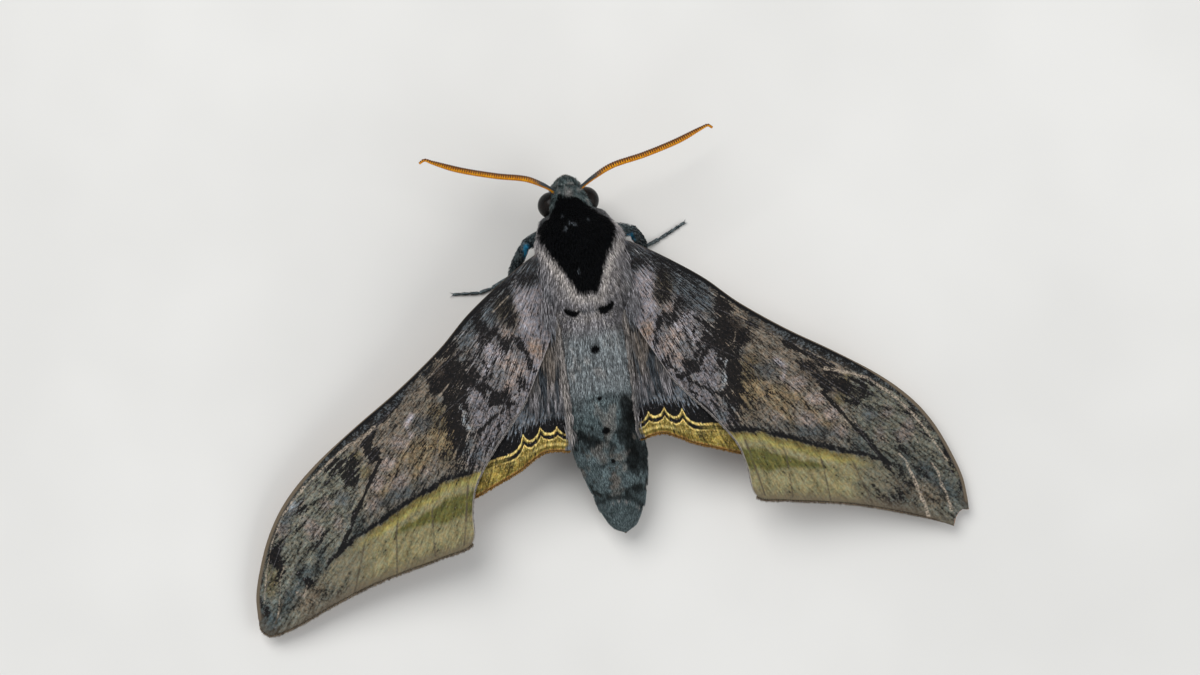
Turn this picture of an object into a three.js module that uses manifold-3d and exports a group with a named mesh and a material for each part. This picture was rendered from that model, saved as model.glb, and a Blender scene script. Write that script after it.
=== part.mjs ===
// Hawk moth at rest, life size, as a still museum model.
// Millimetres, +Z up. The head points towards -Y, the moth's left side is +X, and the feet stand on Z = 0.
// The trunk is shaped whole and parted by thin cuts. Wings are curved plates, limbs are tapering tubes.

import * as THREE from "three";
import { mergeVertices } from "three/addons/utils/BufferGeometryUtils.js";
import Module from "manifold-3d";

const wasm = await Module();
wasm.setup();

// ---- Driving dimensions ----

const GAP = 0.3; // clearance between neighbouring pieces
const WING_THICKNESS = 0.5;
const COSTA_THICKENING = 0.35; // how much thicker a forewing is along its front edge
const WING_ROOT_X = 5; // where the wings leave the body
const WING_ROOT_Z = 11; // height of the wing roots
const LEFT_DROOP = 0.2; // fall of the left wings per millimetre outwards
const RIGHT_DROOP = 0.215; // the right wings hang a little lower
const LEFT_SPREAD = 1; // the left wings are held a little wider than the right ones
const RIGHT_SPREAD = 0.972;
const RIGHT_TUCK = 0.7; // how far the back edge of the right forewing is drawn in
const TAILWARD_FALL = 0.035; // fall of all wings per millimetre towards the tail
const WING_CAMBER = 0.55; // rise of the middle of a wing over its edges
const HINDWING_FOLD = 1.7; // how far the hindwings' inner edges turn down beside the abdomen
const HINDWING_DROP = 1.0; // distance of the hindwing below the forewing

const NECK_Y = -4.9; // cut between head and thorax
const WAIST_Y = 9.4; // cut between thorax and abdomen
const LAST_RING_Y = 30.3; // cut between abdomen and its last segment
const ABDOMEN_RINGS = 7;
const RING_STEP = 0.16; // how far each abdominal ring stands over the next
const TAIL_BEND = -0.75; // the tail turns to the moth's right
const TAIL_BEND_FROM = 20; // where that turn begins and ends
const TAIL_BEND_TO = 29;
const HEAD_SHIFT = 0.22; // the head sits a little to the moth's left
const HEAD_SHIFT_FROM = -4.5;
const HEAD_SHIFT_TO = -7.5;
const WELD = 0.01; // corners nearer than this are one corner

const TEGULA_CUT = 2.5; // how far down the wings' room is cleared out of the tegulae

const EYE = { x: 2.05, y: -5.95, z: 6.9, r: 1.6, tall: 1.12 };
const BLOCK = 40; // size of the blocks that cut the trunk

// The trunk: place along the body, half width, top and bottom.
const TRUNK = [
  [-8.95, 0, 6.9, 6.9],
  [-8.75, 0.75, 7.9, 5.7],
  [-8.3, 1.35, 8.65, 5.0],
  [-7.6, 1.8, 9.2, 4.3],
  [-6.7, 2.15, 9.5, 3.9],
  [-5.9, 2.45, 9.7, 3.7],
  [-5.2, 2.85, 9.9, 3.6],
  [-4.2, 4.0, 10.6, 3.0],
  [-2.4, 4.8, 11.8, 2.4],
  [0.2, 5.0, 12.6, 1.9],
  [3.2, 5.1, 12.9, 1.6],
  [6.2, 4.9, 12.3, 1.7],
  [9.2, 4.5, 11.1, 1.9],
  [12.5, 4.3, 10.3, 1.8],
  [16.5, 4.25, 9.7, 1.6],
  [20.5, 4.3, 8.9, 1.4],
  [23.5, 4.4, 8.2, 1.3],
  [26, 4.0, 7.5, 1.2],
  [28, 3.45, 6.9, 1.15],
  [29.8, 2.95, 6.2, 1.2],
  [31.5, 2.3, 5.3, 1.3],
  [32.9, 1.45, 4.5, 1.7],
  [33.8, 0, 3.1, 3.1],
];

// ---- Finishes ----

const finish = (color, roughness) => new THREE.MeshStandardMaterial({ color, roughness, metalness: 0 });
const FUR_DARK = finish(0x111113, 0.95);
const FUR_GREY = finish(0x77747a, 0.9);
const FUR_SLATE = finish(0x4a5053, 0.9);
const WING_SCALES = finish(0x55504c, 0.8);
const HINDWING_SCALES = finish(0x8a7d3c, 0.8);
const LEG_SCALES = finish(0x39434a, 0.6);
const ANTENNA_HORN = finish(0xc0791c, 0.55);
const EYE_LENS = finish(0x2a2424, 0.2);

// ---- Solids and meshes ----

// Closed geometry with shared vertices and its faces pointing out.
function closed(geometry, weld = 1e-3) {
  geometry.deleteAttribute("normal");
  geometry.deleteAttribute("uv");
  const merged = mergeVertices(geometry, weld);
  const p = merged.attributes.position;
  const index = merged.index.array;
  const kept = [];
  let volume = 0;
  const [a, b, c] = [new THREE.Vector3(), new THREE.Vector3(), new THREE.Vector3()];
  for (let i = 0; i < index.length; i += 3) {
    const [ia, ib, ic] = [index[i], index[i + 1], index[i + 2]];
    if (ia === ib || ib === ic || ia === ic) continue; // a triangle that closed up at a pole
    kept.push(ia, ib, ic);
    a.fromBufferAttribute(p, ia);
    b.fromBufferAttribute(p, ib);
    c.fromBufferAttribute(p, ic);
    volume += a.dot(b.cross(c));
  }
  if (volume < 0) kept.reverse(); // turns every face round
  merged.setIndex(kept);
  return merged;
}

function solid(geometry) {
  const g = closed(geometry);
  return new wasm.Manifold(
    new wasm.Mesh({
      numProp: 3,
      vertProperties: new Float32Array(g.attributes.position.array),
      triVerts: new Uint32Array(g.index.array),
    }),
  );
}

// The largest body of a solid, so that a cut leaves no crumbs.
const largest = (made) => made.decompose().sort((a, b) => b.volume() - a.volume())[0];

function named(name, made, material) {
  const cut = largest(made).getMesh();
  const faces = new THREE.BufferGeometry();
  faces.setAttribute("position", new THREE.BufferAttribute(new Float32Array(cut.vertProperties), 3));
  faces.setIndex(new THREE.BufferAttribute(new Uint32Array(cut.triVerts), 1));
  const geometry = closed(faces, WELD);
  geometry.computeVertexNormals();
  const mesh = new THREE.Mesh(geometry, material);
  mesh.name = name;
  return mesh;
}

// A block that covers everything from one place along the body to another.
function slab(fromY, toY) {
  const block = new THREE.BoxGeometry(BLOCK, toY - fromY, BLOCK);
  block.translate(0, (fromY + toY) / 2, 0);
  return solid(block);
}

// Moves every vertex of a geometry by a function of its place.
function bend(geometry, place) {
  const p = geometry.attributes.position;
  const v = new THREE.Vector3();
  for (let i = 0; i < p.count; i++) {
    v.fromBufferAttribute(p, i);
    place(v);
    p.setXYZ(i, v.x, v.y, v.z);
  }
  return geometry;
}

const smoothstep = THREE.MathUtils.smoothstep;
const lerp = THREE.MathUtils.lerp;
const at = (x, y, z) => new THREE.Vector3(x, y, z);
const smooth = (points) => new THREE.CatmullRomCurve3(points, false, "centripetal");

// ---- Trunk: head, thorax and abdomen ----

// 1 just before a ring's edge on the abdomen, falling away over the next ring.
function ringEdge(y) {
  const along = ((y - WAIST_Y) / (LAST_RING_Y - WAIST_Y)) * (ABDOMEN_RINGS - 1);
  return along < 0 || along > ABDOMEN_RINGS - 1 ? 0 : along - Math.floor(along);
}

// The midline of the trunk, which bends aside at the tail and a little at the head.
const midline = (y) =>
  TAIL_BEND * smoothstep(y, TAIL_BEND_FROM, TAIL_BEND_TO) +
  HEAD_SHIFT * (1 - smoothstep(y, HEAD_SHIFT_TO, HEAD_SHIFT_FROM));

function trunk(grow = 0, sides = 18, rings = 42) {
  const sizes = smooth(TRUNK.map(([y, width, top]) => at(y, width, top)));
  const bellies = smooth(TRUNK.map(([y, , , bottom]) => at(y, bottom, 0)));
  return solid(
    bend(new THREE.SphereGeometry(1, sides, rings), (v) => {
      const t = Math.acos(THREE.MathUtils.clamp(v.y, -1, 1)) / Math.PI;
      const angle = Math.atan2(v.z, v.x);
      const size = sizes.getPoint(t);
      const bottom = bellies.getPoint(t).y;
      const pole = t < 1e-6 || t > 1 - 1e-6;
      const extra = pole ? 0 : grow + ringEdge(size.x) * RING_STEP;
      const half = (size.z - bottom) / 2 + extra;
      v.set(
        midline(size.x) + (pole ? 0 : (Math.max(size.y, 0.05) + extra) * Math.cos(angle)),
        size.x + (pole ? (t < 0.5 ? -grow : grow) : 0),
        (size.z + bottom) / 2 + (pole ? 0 : half * Math.sin(angle)),
      );
    }),
  );
}

// ---- Tubes: legs, antennae, palps and proboscis ----

// A tube with round ends through the given points; radius(t) is its radius along the way.
function tube(points, radius, { sides = 8, steps = 10, flatFoot = false } = {}) {
  const path = points.length > 2 ? new THREE.CatmullRomCurve3(points) : new THREE.LineCurve3(...points);
  const length = path.getLength();
  const frames = path.computeFrenetFrames(steps, false);
  return solid(
    bend(new THREE.SphereGeometry(1, sides, steps), (v) => {
      const ring = Math.round((Math.acos(THREE.MathUtils.clamp(v.y, -1, 1)) / Math.PI) * steps);
      const angle = Math.atan2(v.z, v.x);
      const t = ring / steps;
      const r = radius(t);
      const fromEnd = Math.min(t, 1 - t) * length;
      const round = ring % steps === 0 ? 0 : Math.sqrt(Math.min(1, 0.3 + fromEnd / r));
      const out = frames.normals[ring].clone().multiplyScalar(Math.cos(angle));
      out.addScaledVector(frames.binormals[ring], Math.sin(angle));
      v.copy(path.getPointAt(t)).addScaledVector(out, r * round);
      if (flatFoot) v.z = Math.max(v.z, 0);
    }),
  );
}

const taper = (from, to) => (t) => lerp(from, to, t);
const spindle = (from, middle, to) => (t) => {
  const belly = middle - (from + to) / 2;
  return lerp(from, to, t) + belly * Math.sin(Math.PI * t);
};

// ---- Wings ----

// Each outline starts at the body and ends at the wing tip.
const FOREWING = {
  front: [
    [3.2, -1.4], [6.5, 0.1], [11.1, 3.0], [14.4, 5.4], [17.7, 8.4], [21, 10.9], [24.2, 13.1],
    [29, 16.1], [34, 19.5], [37, 22], [39.2, 24.4], [41, 27.2], [42.5, 30.6], [43.55, 34], [43.75, 36.6],
  ],
  back: [
    [3.2, 5.5], [5.5, 10.3], [7, 13], [8.7, 16], [10.8, 18.6], [13.4, 21.5], [16, 25.2], [16.8, 28],
    [17.4, 31.7], [21.2, 32.8], [26, 33.8], [30, 34.8], [34.5, 36.3], [38.6, 37.9], [41, 38.6],
    [42.6, 38.75], [43.5, 37.9], [43.75, 36.6],
  ],
  frontShare: [0, 0.08, 0.17, 0.25, 0.33, 0.4, 0.46, 0.55, 0.65, 0.72, 0.78, 0.84, 0.9, 0.96, 1],
  backShare: [
    0, 0.08, 0.15, 0.23, 0.3, 0.37, 0.43, 0.47, 0.5, 0.56, 0.64, 0.71, 0.79, 0.87, 0.92, 0.955, 0.985, 1,
  ],
};
// The right forewing ends in a longer point, of which a worn piece is missing.
const WORN_POINT = [[38.6, 37.95], [41.3, 39.4], [42.9, 40.1], [43.6, 38.7], [43.75, 36.6]];
const FOREWING_RIGHT = { ...FOREWING, back: [...FOREWING.back.slice(0, 13), ...WORN_POINT] };
const HINDWING = {
  front: [[3.4, 3], [9, 6.2], [14.5, 10.6], [20, 16], [23.6, 20.8], [24.6, 24.6]],
  back: [
    [3.4, 5], [3.9, 12], [3.9, 18], [3.9, 22], [4.4, 22.8], [5.6, 22.6], [7.2, 22.5], [8.9, 23.2],
    [10.7, 24.2], [12.7, 25], [16, 26.3], [19.5, 27.4], [22.6, 27.2], [24.6, 24.6],
  ],
  frontShare: [0, 0.25, 0.5, 0.75, 0.92, 1],
  backShare: [0, 0.14, 0.27, 0.36, 0.4, 0.44, 0.5, 0.56, 0.62, 0.69, 0.79, 0.88, 0.95, 1],
};

// The place on an outline at a share of the way from the body to the tip.
function outlineAt(points, shares, u) {
  const last = shares.length - 1;
  let i = 0;
  while (i < last - 1 && u > shares[i + 1]) i++;
  const t = (i + (u - shares[i]) / (shares[i + 1] - shares[i])) / last;
  const curve = smooth(points.map(([x, y]) => at(x, y, 0)));
  return curve.getPoint(THREE.MathUtils.clamp(t, 0, 1));
}

// Height of the middle of a wing at a place; u runs from body to tip, v from front edge to back edge.
function wingHeight(x, y, u, v, droop, drop, fold) {
  const camber = WING_CAMBER * Math.sin(Math.PI * v) * Math.sin(Math.PI * u);
  const turnedDown = fold * (1 - smoothstep(x, 3, 12)) * smoothstep(y, 4, 16);
  return WING_ROOT_Z - drop - droop * (x - WING_ROOT_X) - TAILWARD_FALL * y + camber - turnedDown;
}

// side is 1 for the left wing and -1 for the right one; grow thickens the plate on both faces.
function wing(plan, { side, droop, spread, tuck }, grow = 0, lower = 0) {
  const { outline, drop, fold, costa, across, along } = plan;
  const box = new THREE.BoxGeometry(1, 1, 1, along, across, 1);
  return solid(
    bend(box, (p) => {
      const u = p.x + 0.5;
      const v = p.y + 0.5;
      const front = outlineAt(outline.front, outline.frontShare, u);
      const back = outlineAt(outline.back, outline.backShare, u);
      const held = WING_ROOT_X + (lerp(front.x, back.x, v) - WING_ROOT_X) * spread;
      const x = held - tuck * v * Math.sin(Math.PI * u);
      const y = lerp(front.y, back.y, v);
      const thick = WING_THICKNESS + costa * (1 - smoothstep(v, 0, 0.2)) * (1 - u) + 2 * grow;
      p.set(side * x, y, wingHeight(x, y, u, v, droop, drop + lower, fold) + p.z * thick);
    }),
  );
}

const FORE = { outline: FOREWING, drop: 0, fold: 0.3, costa: COSTA_THICKENING, across: 6, along: 26 };
const FORE_RIGHT = { ...FORE, outline: FOREWING_RIGHT };
const HIND = { outline: HINDWING, drop: HINDWING_DROP, fold: HINDWING_FOLD, costa: 0, across: 6, along: 18 };

// ---- The moth ----

const moth = new THREE.Group();
const body = trunk();
const bodyClear = trunk(GAP);

const SIDES = [
  { label: "left", side: 1, droop: LEFT_DROOP, spread: LEFT_SPREAD, tuck: -RIGHT_TUCK / 2 },
  { label: "right", side: -1, droop: RIGHT_DROOP, spread: RIGHT_SPREAD, tuck: RIGHT_TUCK },
];

function eye(side, grow = 0) {
  const ball = new THREE.SphereGeometry(EYE.r + grow, 12, 9);
  ball.scale(1, 1, EYE.tall);
  ball.translate(HEAD_SHIFT + side * EYE.x, EYE.y, EYE.z);
  return solid(ball);
}

// The feelers rise from the brow, lean forwards and end in a small hook.
const ANTENNAE = {
  left: [[1.7, -7.45, 7.9], [3.15, -8.4, 9], [4.9, -9.3, 9.5], [8.4, -10.2, 9.6], [12.6, -11.6, 9.2],
    [15.4, -12.9, 8.7], [16.3, -13.35, 8.5], [16.9, -13.1, 8.2]],
  right: [[1.25, -7.4, 7.9], [3.1, -8.45, 9], [5.2, -9.35, 9.5], [9.2, -10.05, 9.6], [13.5, -11.1, 9.2],
    [16.5, -12.15, 8.7], [17.4, -12.4, 8.5], [17.9, -12.1, 8.2]],
};

function antenna({ label, side }, grow = 0) {
  const radius = (t) => lerp(0.27, 0.35, smoothstep(t, 0, 0.3)) - 0.09 * smoothstep(t, 0.6, 1) + grow;
  return tube(ANTENNAE[label].map(([x, y, z]) => at(side * x, y, z)), radius, { sides: 6, steps: 20 });
}

// The labial palps curve forwards and up beside the tongue.
function palp({ side }, grow = 0) {
  const way = [[1.15, -6.2, 3.7], [1.15, -7.3, 4], [1.1, -7.9, 5.1], [1, -7.8, 6.3]];
  const points = way.map(([x, y, z]) => at(HEAD_SHIFT + side * x, y, z));
  return tube(points, (t) => spindle(0.45, 0.6, 0.4)(t) + grow, { sides: 8, steps: 8 });
}

// The tongue, rolled up between the palps.
function proboscis(grow = 0) {
  const turns = 1.6;
  const points = [];
  for (let i = 0; i <= 14; i++) {
    const angle = (i / 14) * turns * 2 * Math.PI;
    const r = lerp(1.2, 0.32, i / 14);
    points.push(at(HEAD_SHIFT, -7.3 + r * Math.cos(angle + 1.2), 3.9 + r * Math.sin(angle + 1.2)));
  }
  return tube(points, () => 0.25 + grow, { sides: 6, steps: 24 });
}

function addHead() {
  let head = largest(body.intersect(slab(-BLOCK / 2, NECK_Y - GAP / 2)));
  head = head.subtract(proboscis(GAP));
  for (const each of SIDES) {
    head = head.subtract(eye(each.side, GAP)).subtract(antenna(each, GAP)).subtract(palp(each, GAP));
    moth.add(named(`eye_${each.label}`, eye(each.side), EYE_LENS));
    moth.add(named(`antenna_${each.label}`, antenna(each), ANTENNA_HORN));
    moth.add(named(`palp_${each.label}`, palp(each), FUR_SLATE));
  }
  moth.add(named("head", head, FUR_DARK));
  moth.add(named("proboscis", proboscis(), LEG_SCALES));
}

function addTrunk() {
  const chest = body.intersect(slab(NECK_Y + GAP / 2, WAIST_Y - GAP / 2));
  const thorax = chest.subtract(eye(1, GAP)).subtract(eye(-1, GAP));
  moth.add(named("thorax", thorax, FUR_DARK));
  moth.add(named("abdomen", body.intersect(slab(WAIST_Y + GAP / 2, LAST_RING_Y - GAP / 2)), FUR_SLATE));
  moth.add(named("tail", body.intersect(slab(LAST_RING_Y + GAP / 2, BLOCK)), FUR_SLATE));
}

// A tegula is the furred flap that covers a forewing's root.
function addTegulae() {
  for (const each of SIDES) {
    const { label, side } = each;
    const flap = new THREE.SphereGeometry(1, 12, 12);
    flap.scale(2.1, 6.2, 2.6);
    flap.rotateZ(-side * 0.12);
    flap.translate(side * 4.5, 1.9, 9.9);
    const underForewing = wing(FORE, each, TEGULA_CUT + GAP, TEGULA_CUT);
    const underHindwing = wing(HIND, each, TEGULA_CUT + GAP, TEGULA_CUT);
    const shoulder = solid(flap).subtract(bodyClear).subtract(underForewing).subtract(underHindwing);
    moth.add(named(`tegula_${label}`, shoulder, FUR_GREY));
  }
}

function addWings() {
  for (const each of SIDES) {
    const { label, side } = each;
    const plate = side > 0 ? wing(FORE, each) : wing(FORE_RIGHT, each).subtract(tornTip());
    const forewing = plate.subtract(bodyClear);
    const hindwing = wing(HIND, each).subtract(bodyClear);
    moth.add(named(`forewing_${label}`, forewing, WING_SCALES));
    moth.add(named(`hindwing_${label}`, hindwing, HINDWING_SCALES));
  }
}

// The piece that is missing from the worn tip of the right forewing.
function tornTip() {
  const edge = [[-40.2, 40.5], [-40.4, 39.4], [-40.8, 38.5], [-41.3, 37.95], [-41.8, 37.7], [-42.3, 37.85],
    [-45, 37.9], [-45, 41]];
  const shape = new THREE.Shape(edge.map(([x, y]) => new THREE.Vector2(x, y)));
  return solid(new THREE.ExtrudeGeometry(shape, { depth: 8, bevelEnabled: false }).translate(0, 0, -2));
}

// Each leg: hip, knee and ankle, then the way of the foot over the floor.
const LEGS = {
  fore_leg_left: [[1.9, -2.9, 2.7], [5.9, -2.1, 5.2], [7.6, 1.1, 1], [[9.9, 2.4], [12, 2.9], [14.9, 2.1]]],
  fore_leg_right: [[-2.2, -2.6, 2.9], [-7.2, -1.75, 4.9], [-8.6, 0.4, 1],
    [[-10.3, -0.1], [-12, -0.85], [-13.95, -1.75]]],
  mid_leg_left: [[2.4, 1.6, 2.5], [7.9, 2.9, 6.2], [11.2, 8.2, 1], [[13, 10.4], [15, 12.2], [17.4, 13.7]]],
  mid_leg_right: [[-2.4, 1.6, 2.5], [-7.9, 2.9, 6.2], [-11.2, 8.2, 1],
    [[-13, 10.2], [-14.8, 12.2], [-16.9, 14.1]]],
  hind_leg_left: [[2.2, 5.6, 2.4], [6.5, 9.4, 5.4], [8.8, 16, 1], [[9.8, 18], [10.8, 19.6], [12, 21]]],
  hind_leg_right: [[-2.2, 5.6, 2.4], [-6.5, 9.4, 5.4], [-8.6, 16.1, 1],
    [[-9.4, 18.2], [-10.3, 19.8], [-11.7, 21.1]]],
};
const FEMUR_R = 0.62;
const TIBIA_R = 0.5;
const FOOT_R = 0.3;
const FOOT_Z = 0.2; // below FOOT_R, so that each foot stands on a narrow flat

function addLegs() {
  for (const [leg, [hip, knee, ankle, way]] of Object.entries(LEGS)) {
    const [a, b, c] = [at(...hip), at(...knee), at(...ankle)];
    const thigh = b.clone().sub(a).normalize();
    const shin = c.clone().sub(b).normalize();
    const thighEnd = b.clone().addScaledVector(thigh, -GAP);
    const shinStart = b.clone().addScaledVector(shin, GAP + 0.25);
    const thighTube = tube([a, thighEnd], spindle(0.5, FEMUR_R, 0.45), { sides: 8, steps: 7 });
    const femur = thighTube.subtract(bodyClear);
    const tibia = tube([shinStart, c], spindle(0.42, TIBIA_R, 0.38), { sides: 8, steps: 7 });
    const heel = at(lerp(ankle[0], way[0][0], 0.1), lerp(ankle[1], way[0][1], 0.1), FOOT_Z);
    const steps = [heel, ...way.map(([x, y]) => at(x, y, FOOT_Z))];
    const foot = tube(steps, taper(FOOT_R, 0.27), { sides: 8, steps: 9, flatFoot: true });
    moth.add(named(`${leg}_femur`, femur, LEG_SCALES));
    moth.add(named(`${leg}_tibia`, tibia, LEG_SCALES));
    moth.add(named(`${leg}_foot`, foot, LEG_SCALES));
  }
}

addHead();
addTrunk();
addTegulae();
addWings();
addLegs();

// The origin is the middle of the moth's outline on the floor.
const box = new THREE.Box3().setFromObject(moth);
const middle = box.getCenter(new THREE.Vector3());
moth.position.set(-middle.x, -middle.y, -box.min.z);

export default moth;
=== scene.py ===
import math

import bmesh
import bpy
import numpy as np
from mathutils import Matrix, Vector


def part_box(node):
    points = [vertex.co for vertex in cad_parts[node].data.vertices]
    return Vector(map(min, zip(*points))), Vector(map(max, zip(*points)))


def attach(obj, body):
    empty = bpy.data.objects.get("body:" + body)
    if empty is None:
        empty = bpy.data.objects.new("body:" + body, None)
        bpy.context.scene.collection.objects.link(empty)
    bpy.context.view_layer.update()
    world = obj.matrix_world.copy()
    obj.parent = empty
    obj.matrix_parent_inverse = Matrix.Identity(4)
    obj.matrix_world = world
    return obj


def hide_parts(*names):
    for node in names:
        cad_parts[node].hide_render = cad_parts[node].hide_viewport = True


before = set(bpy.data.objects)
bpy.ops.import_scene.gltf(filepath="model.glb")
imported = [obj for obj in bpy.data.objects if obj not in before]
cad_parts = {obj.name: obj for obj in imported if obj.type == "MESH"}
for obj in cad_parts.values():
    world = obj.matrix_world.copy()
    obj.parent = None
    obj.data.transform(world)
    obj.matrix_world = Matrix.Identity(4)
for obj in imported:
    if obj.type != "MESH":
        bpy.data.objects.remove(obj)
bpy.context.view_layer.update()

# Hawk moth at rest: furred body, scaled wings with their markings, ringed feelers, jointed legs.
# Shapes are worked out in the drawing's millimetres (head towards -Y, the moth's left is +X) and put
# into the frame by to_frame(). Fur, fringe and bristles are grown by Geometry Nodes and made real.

MM = 0.001

# ---- The drawing's place in the frame ----

THORAX_FRONT = -4.75  # mm, where the thorax begins in the drawing
thorax_low, thorax_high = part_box("thorax")
SHIFT = np.array([(thorax_low.x + thorax_high.x) / 2, thorax_low.y - THORAX_FRONT * MM, 0.0])


def to_frame(points):
    return np.asarray(points, float) * MM + SHIFT


def from_frame(points):
    return (np.asarray(points, float) - SHIFT) / MM


# ---- Curves, fields and noise over arrays of points ----


def smooth_curve(points, t):
    """Points at shares t of a centripetal Catmull-Rom curve, the curve that the solids use."""
    p = np.asarray(points, float)
    p = np.vstack([2 * p[0] - p[1], p, 2 * p[-1] - p[-2]])
    t = np.clip(np.asarray(t, float), 0, 1) * (len(points) - 1)
    i = np.minimum(t.astype(int), len(points) - 2)
    w = (t - i)[:, None]
    a, b, c, d = p[i], p[i + 1], p[i + 2], p[i + 3]
    gaps = [np.sqrt(np.linalg.norm(q - r, axis=1))[:, None] for q, r in ((b, a), (c, b), (d, c))]
    gaps = [np.maximum(gap, 1e-6) for gap in gaps]
    out = ((b - a) / gaps[0] - (c - a) / (gaps[0] + gaps[1]) + (c - b) / gaps[1]) * gaps[1]
    into = ((c - b) / gaps[1] - (d - b) / (gaps[1] + gaps[2]) + (d - c) / gaps[2]) * gaps[1]
    return b + w * out + w**2 * (-3 * b + 3 * c - 2 * out - into) + w**3 * (2 * b - 2 * c + out + into)


def run_along(path):
    """How far each point lies along a path."""
    return np.concatenate([[0], np.cumsum(np.linalg.norm(np.diff(path, axis=0), axis=1))])


def rise(x, low, high):
    """Goes smoothly from 0 to 1 as x goes from low to high."""
    t = np.clip((x - low) / (high - low), 0, 1)
    return t * t * (3 - 2 * t)


def unit(v):
    return v / np.maximum(np.linalg.norm(v, axis=-1, keepdims=True), 1e-12)


def hashed(cell, seed):
    """A steady random number between 0 and 1 for each lattice cell."""
    h = cell[..., 0] * 374761393 + cell[..., 1] * 668265263 + cell[..., 2] * 2147483647 + seed * 974711
    h = (h ^ (h >> 13)) * 1274126177
    return ((h ^ (h >> 16)) & 0xFFFF) / 65535.0


def noise(points, size, seed=0):
    """Smooth value noise between -1 and 1 with features of about the given size; points may be flat."""
    p = np.zeros((len(points), 3))
    p[:, : np.shape(points)[1]] = points
    p /= size
    cell = np.floor(p).astype(np.int64)
    f = p - cell
    f = f * f * (3 - 2 * f)
    total = np.zeros(len(p))
    for corner in np.ndindex(2, 2, 2):
        weight = np.prod(np.where(np.array(corner) == 1, f, 1 - f), axis=1)
        total += weight * hashed(cell + np.array(corner), seed)
    return total * 2 - 1


def line_distance(xy, line):
    """Distance from each point to a line through the given points."""
    line = np.asarray(line, float)
    best = np.full(len(xy), 1e9)
    for a, b in zip(line[:-1], line[1:]):
        ab = b - a
        t = np.clip(((xy - a) @ ab) / (ab @ ab), 0, 1)
        best = np.minimum(best, np.linalg.norm(xy - (a + t[:, None] * ab), axis=1))
    return best


def stroke(xy, line, width, end_width=None):
    """Signed distance to a drawn line that may narrow towards its end; below zero inside it."""
    if end_width is None:
        return line_distance(xy, line) - width / 2
    line = np.asarray(line, float)
    widths = np.linspace(width, end_width, len(line))
    parts = zip(line[:-1], line[1:], widths[:-1], widths[1:])
    return all_of(line_distance(xy, [a, b]) - (v + w) / 4 for a, b, v, w in parts)


def patch(xy, outline):
    """Signed distance to a closed outline; below zero inside it."""
    ring = np.asarray([*outline, outline[0]], float)
    inside = np.zeros(len(xy), bool)
    for (x0, y0), (x1, y1) in zip(ring[:-1], ring[1:]):
        crosses = (y0 > xy[:, 1]) != (y1 > xy[:, 1])
        at_x = x0 + (xy[:, 1] - y0) * (x1 - x0) / (y1 - y0 + 1e-12)
        inside ^= crosses & (xy[:, 0] < at_x)
    distance = line_distance(xy, ring)
    return np.where(inside, -distance, distance)


def spot(xy, x, y, across, along=None, turn=0):
    """Signed distance, near enough, to an oval; turn is in degrees."""
    along = along or across
    c, s = math.cos(math.radians(turn)), math.sin(math.radians(turn))
    dx, dy = xy[:, 0] - x, xy[:, 1] - y
    reach = np.hypot((dx * c + dy * s) / across, (dy * c - dx * s) / along)
    return (reach - 1) * min(across, along)


def all_of(fields):
    return np.minimum.reduce(list(fields))


def blend(a, b, share):
    share = np.asarray(share)[:, None]
    return a * (1 - share) + b * share


def layered(made, layers):
    """Lays tones one over another, each by its own share."""
    for tone, share in layers:
        made = blend(made, tone, share)
    return made


def from_root(xy):
    """How far places on a wing lie from its root, and in which direction."""
    x, y = xy[:, 0] - 2, xy[:, 1] + 4
    return np.hypot(x, y), np.arctan2(y, x)


class Painting:
    """Washes of colour and of dark scales laid one over another with ragged edges.
    A shape is an oval (x, y, half width, half length, turn), a closed outline [points]
    or a line ([points], width) that may narrow ([points], width, end width)."""

    def __init__(self, xy, ground, deep):
        self.xy, self.tint, self.deep = xy, ground, deep
        radius, turn = from_root(xy)
        along = np.column_stack([radius * 0.5, turn * 55])
        self.ragged = 0.12 * noise(xy, 0.4, 31) + 0.14 * noise(xy, 1.1, 32) + 0.24 * noise(along, 1.0, 33)

    def amount(self, shape, soft):
        if isinstance(shape, list):
            field = patch(self.xy, shape)
        elif isinstance(shape[0], list):
            field = stroke(self.xy, *shape)
        else:
            field = spot(self.xy, *shape)
        soft = 1.5 * soft
        return 1 - rise(field + self.ragged * min(1, 0.15 + 2.4 * soft), -soft, soft)

    def wash(self, tone, shapes, strength=0.8, soft=0.3):
        for shape in shapes:
            self.tint = blend(self.tint, tone, self.amount(shape, soft) * strength)

    def darken(self, shapes, share=0.9, soft=0.25):
        for shape in shapes:
            self.deep = self.deep + (share - self.deep) * self.amount(shape, soft)


# ---- Meshes ----


def placed(name, data):
    thing = bpy.data.objects.new(name, data)
    bpy.context.scene.collection.objects.link(thing)
    return thing


def made_real(thing):
    """The plain mesh that a thing's modifier leaves; the modifier goes."""
    depsgraph = bpy.context.evaluated_depsgraph_get()
    shown = thing.evaluated_get(depsgraph)
    mesh = bpy.data.meshes.new_from_object(shown, preserve_all_data_layers=True, depsgraph=depsgraph)
    thing.modifiers.clear()
    return mesh


def mesh_points(mesh):
    """A mesh's points in the drawing's millimetres."""
    points = np.empty(len(mesh.vertices) * 3, np.float32)
    mesh.vertices.foreach_get("co", points)
    return from_frame(points.reshape(-1, 3))


def colour_values(tint):
    return np.hstack([tint, np.ones((len(tint), 1))]).astype(np.float32).ravel()


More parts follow.
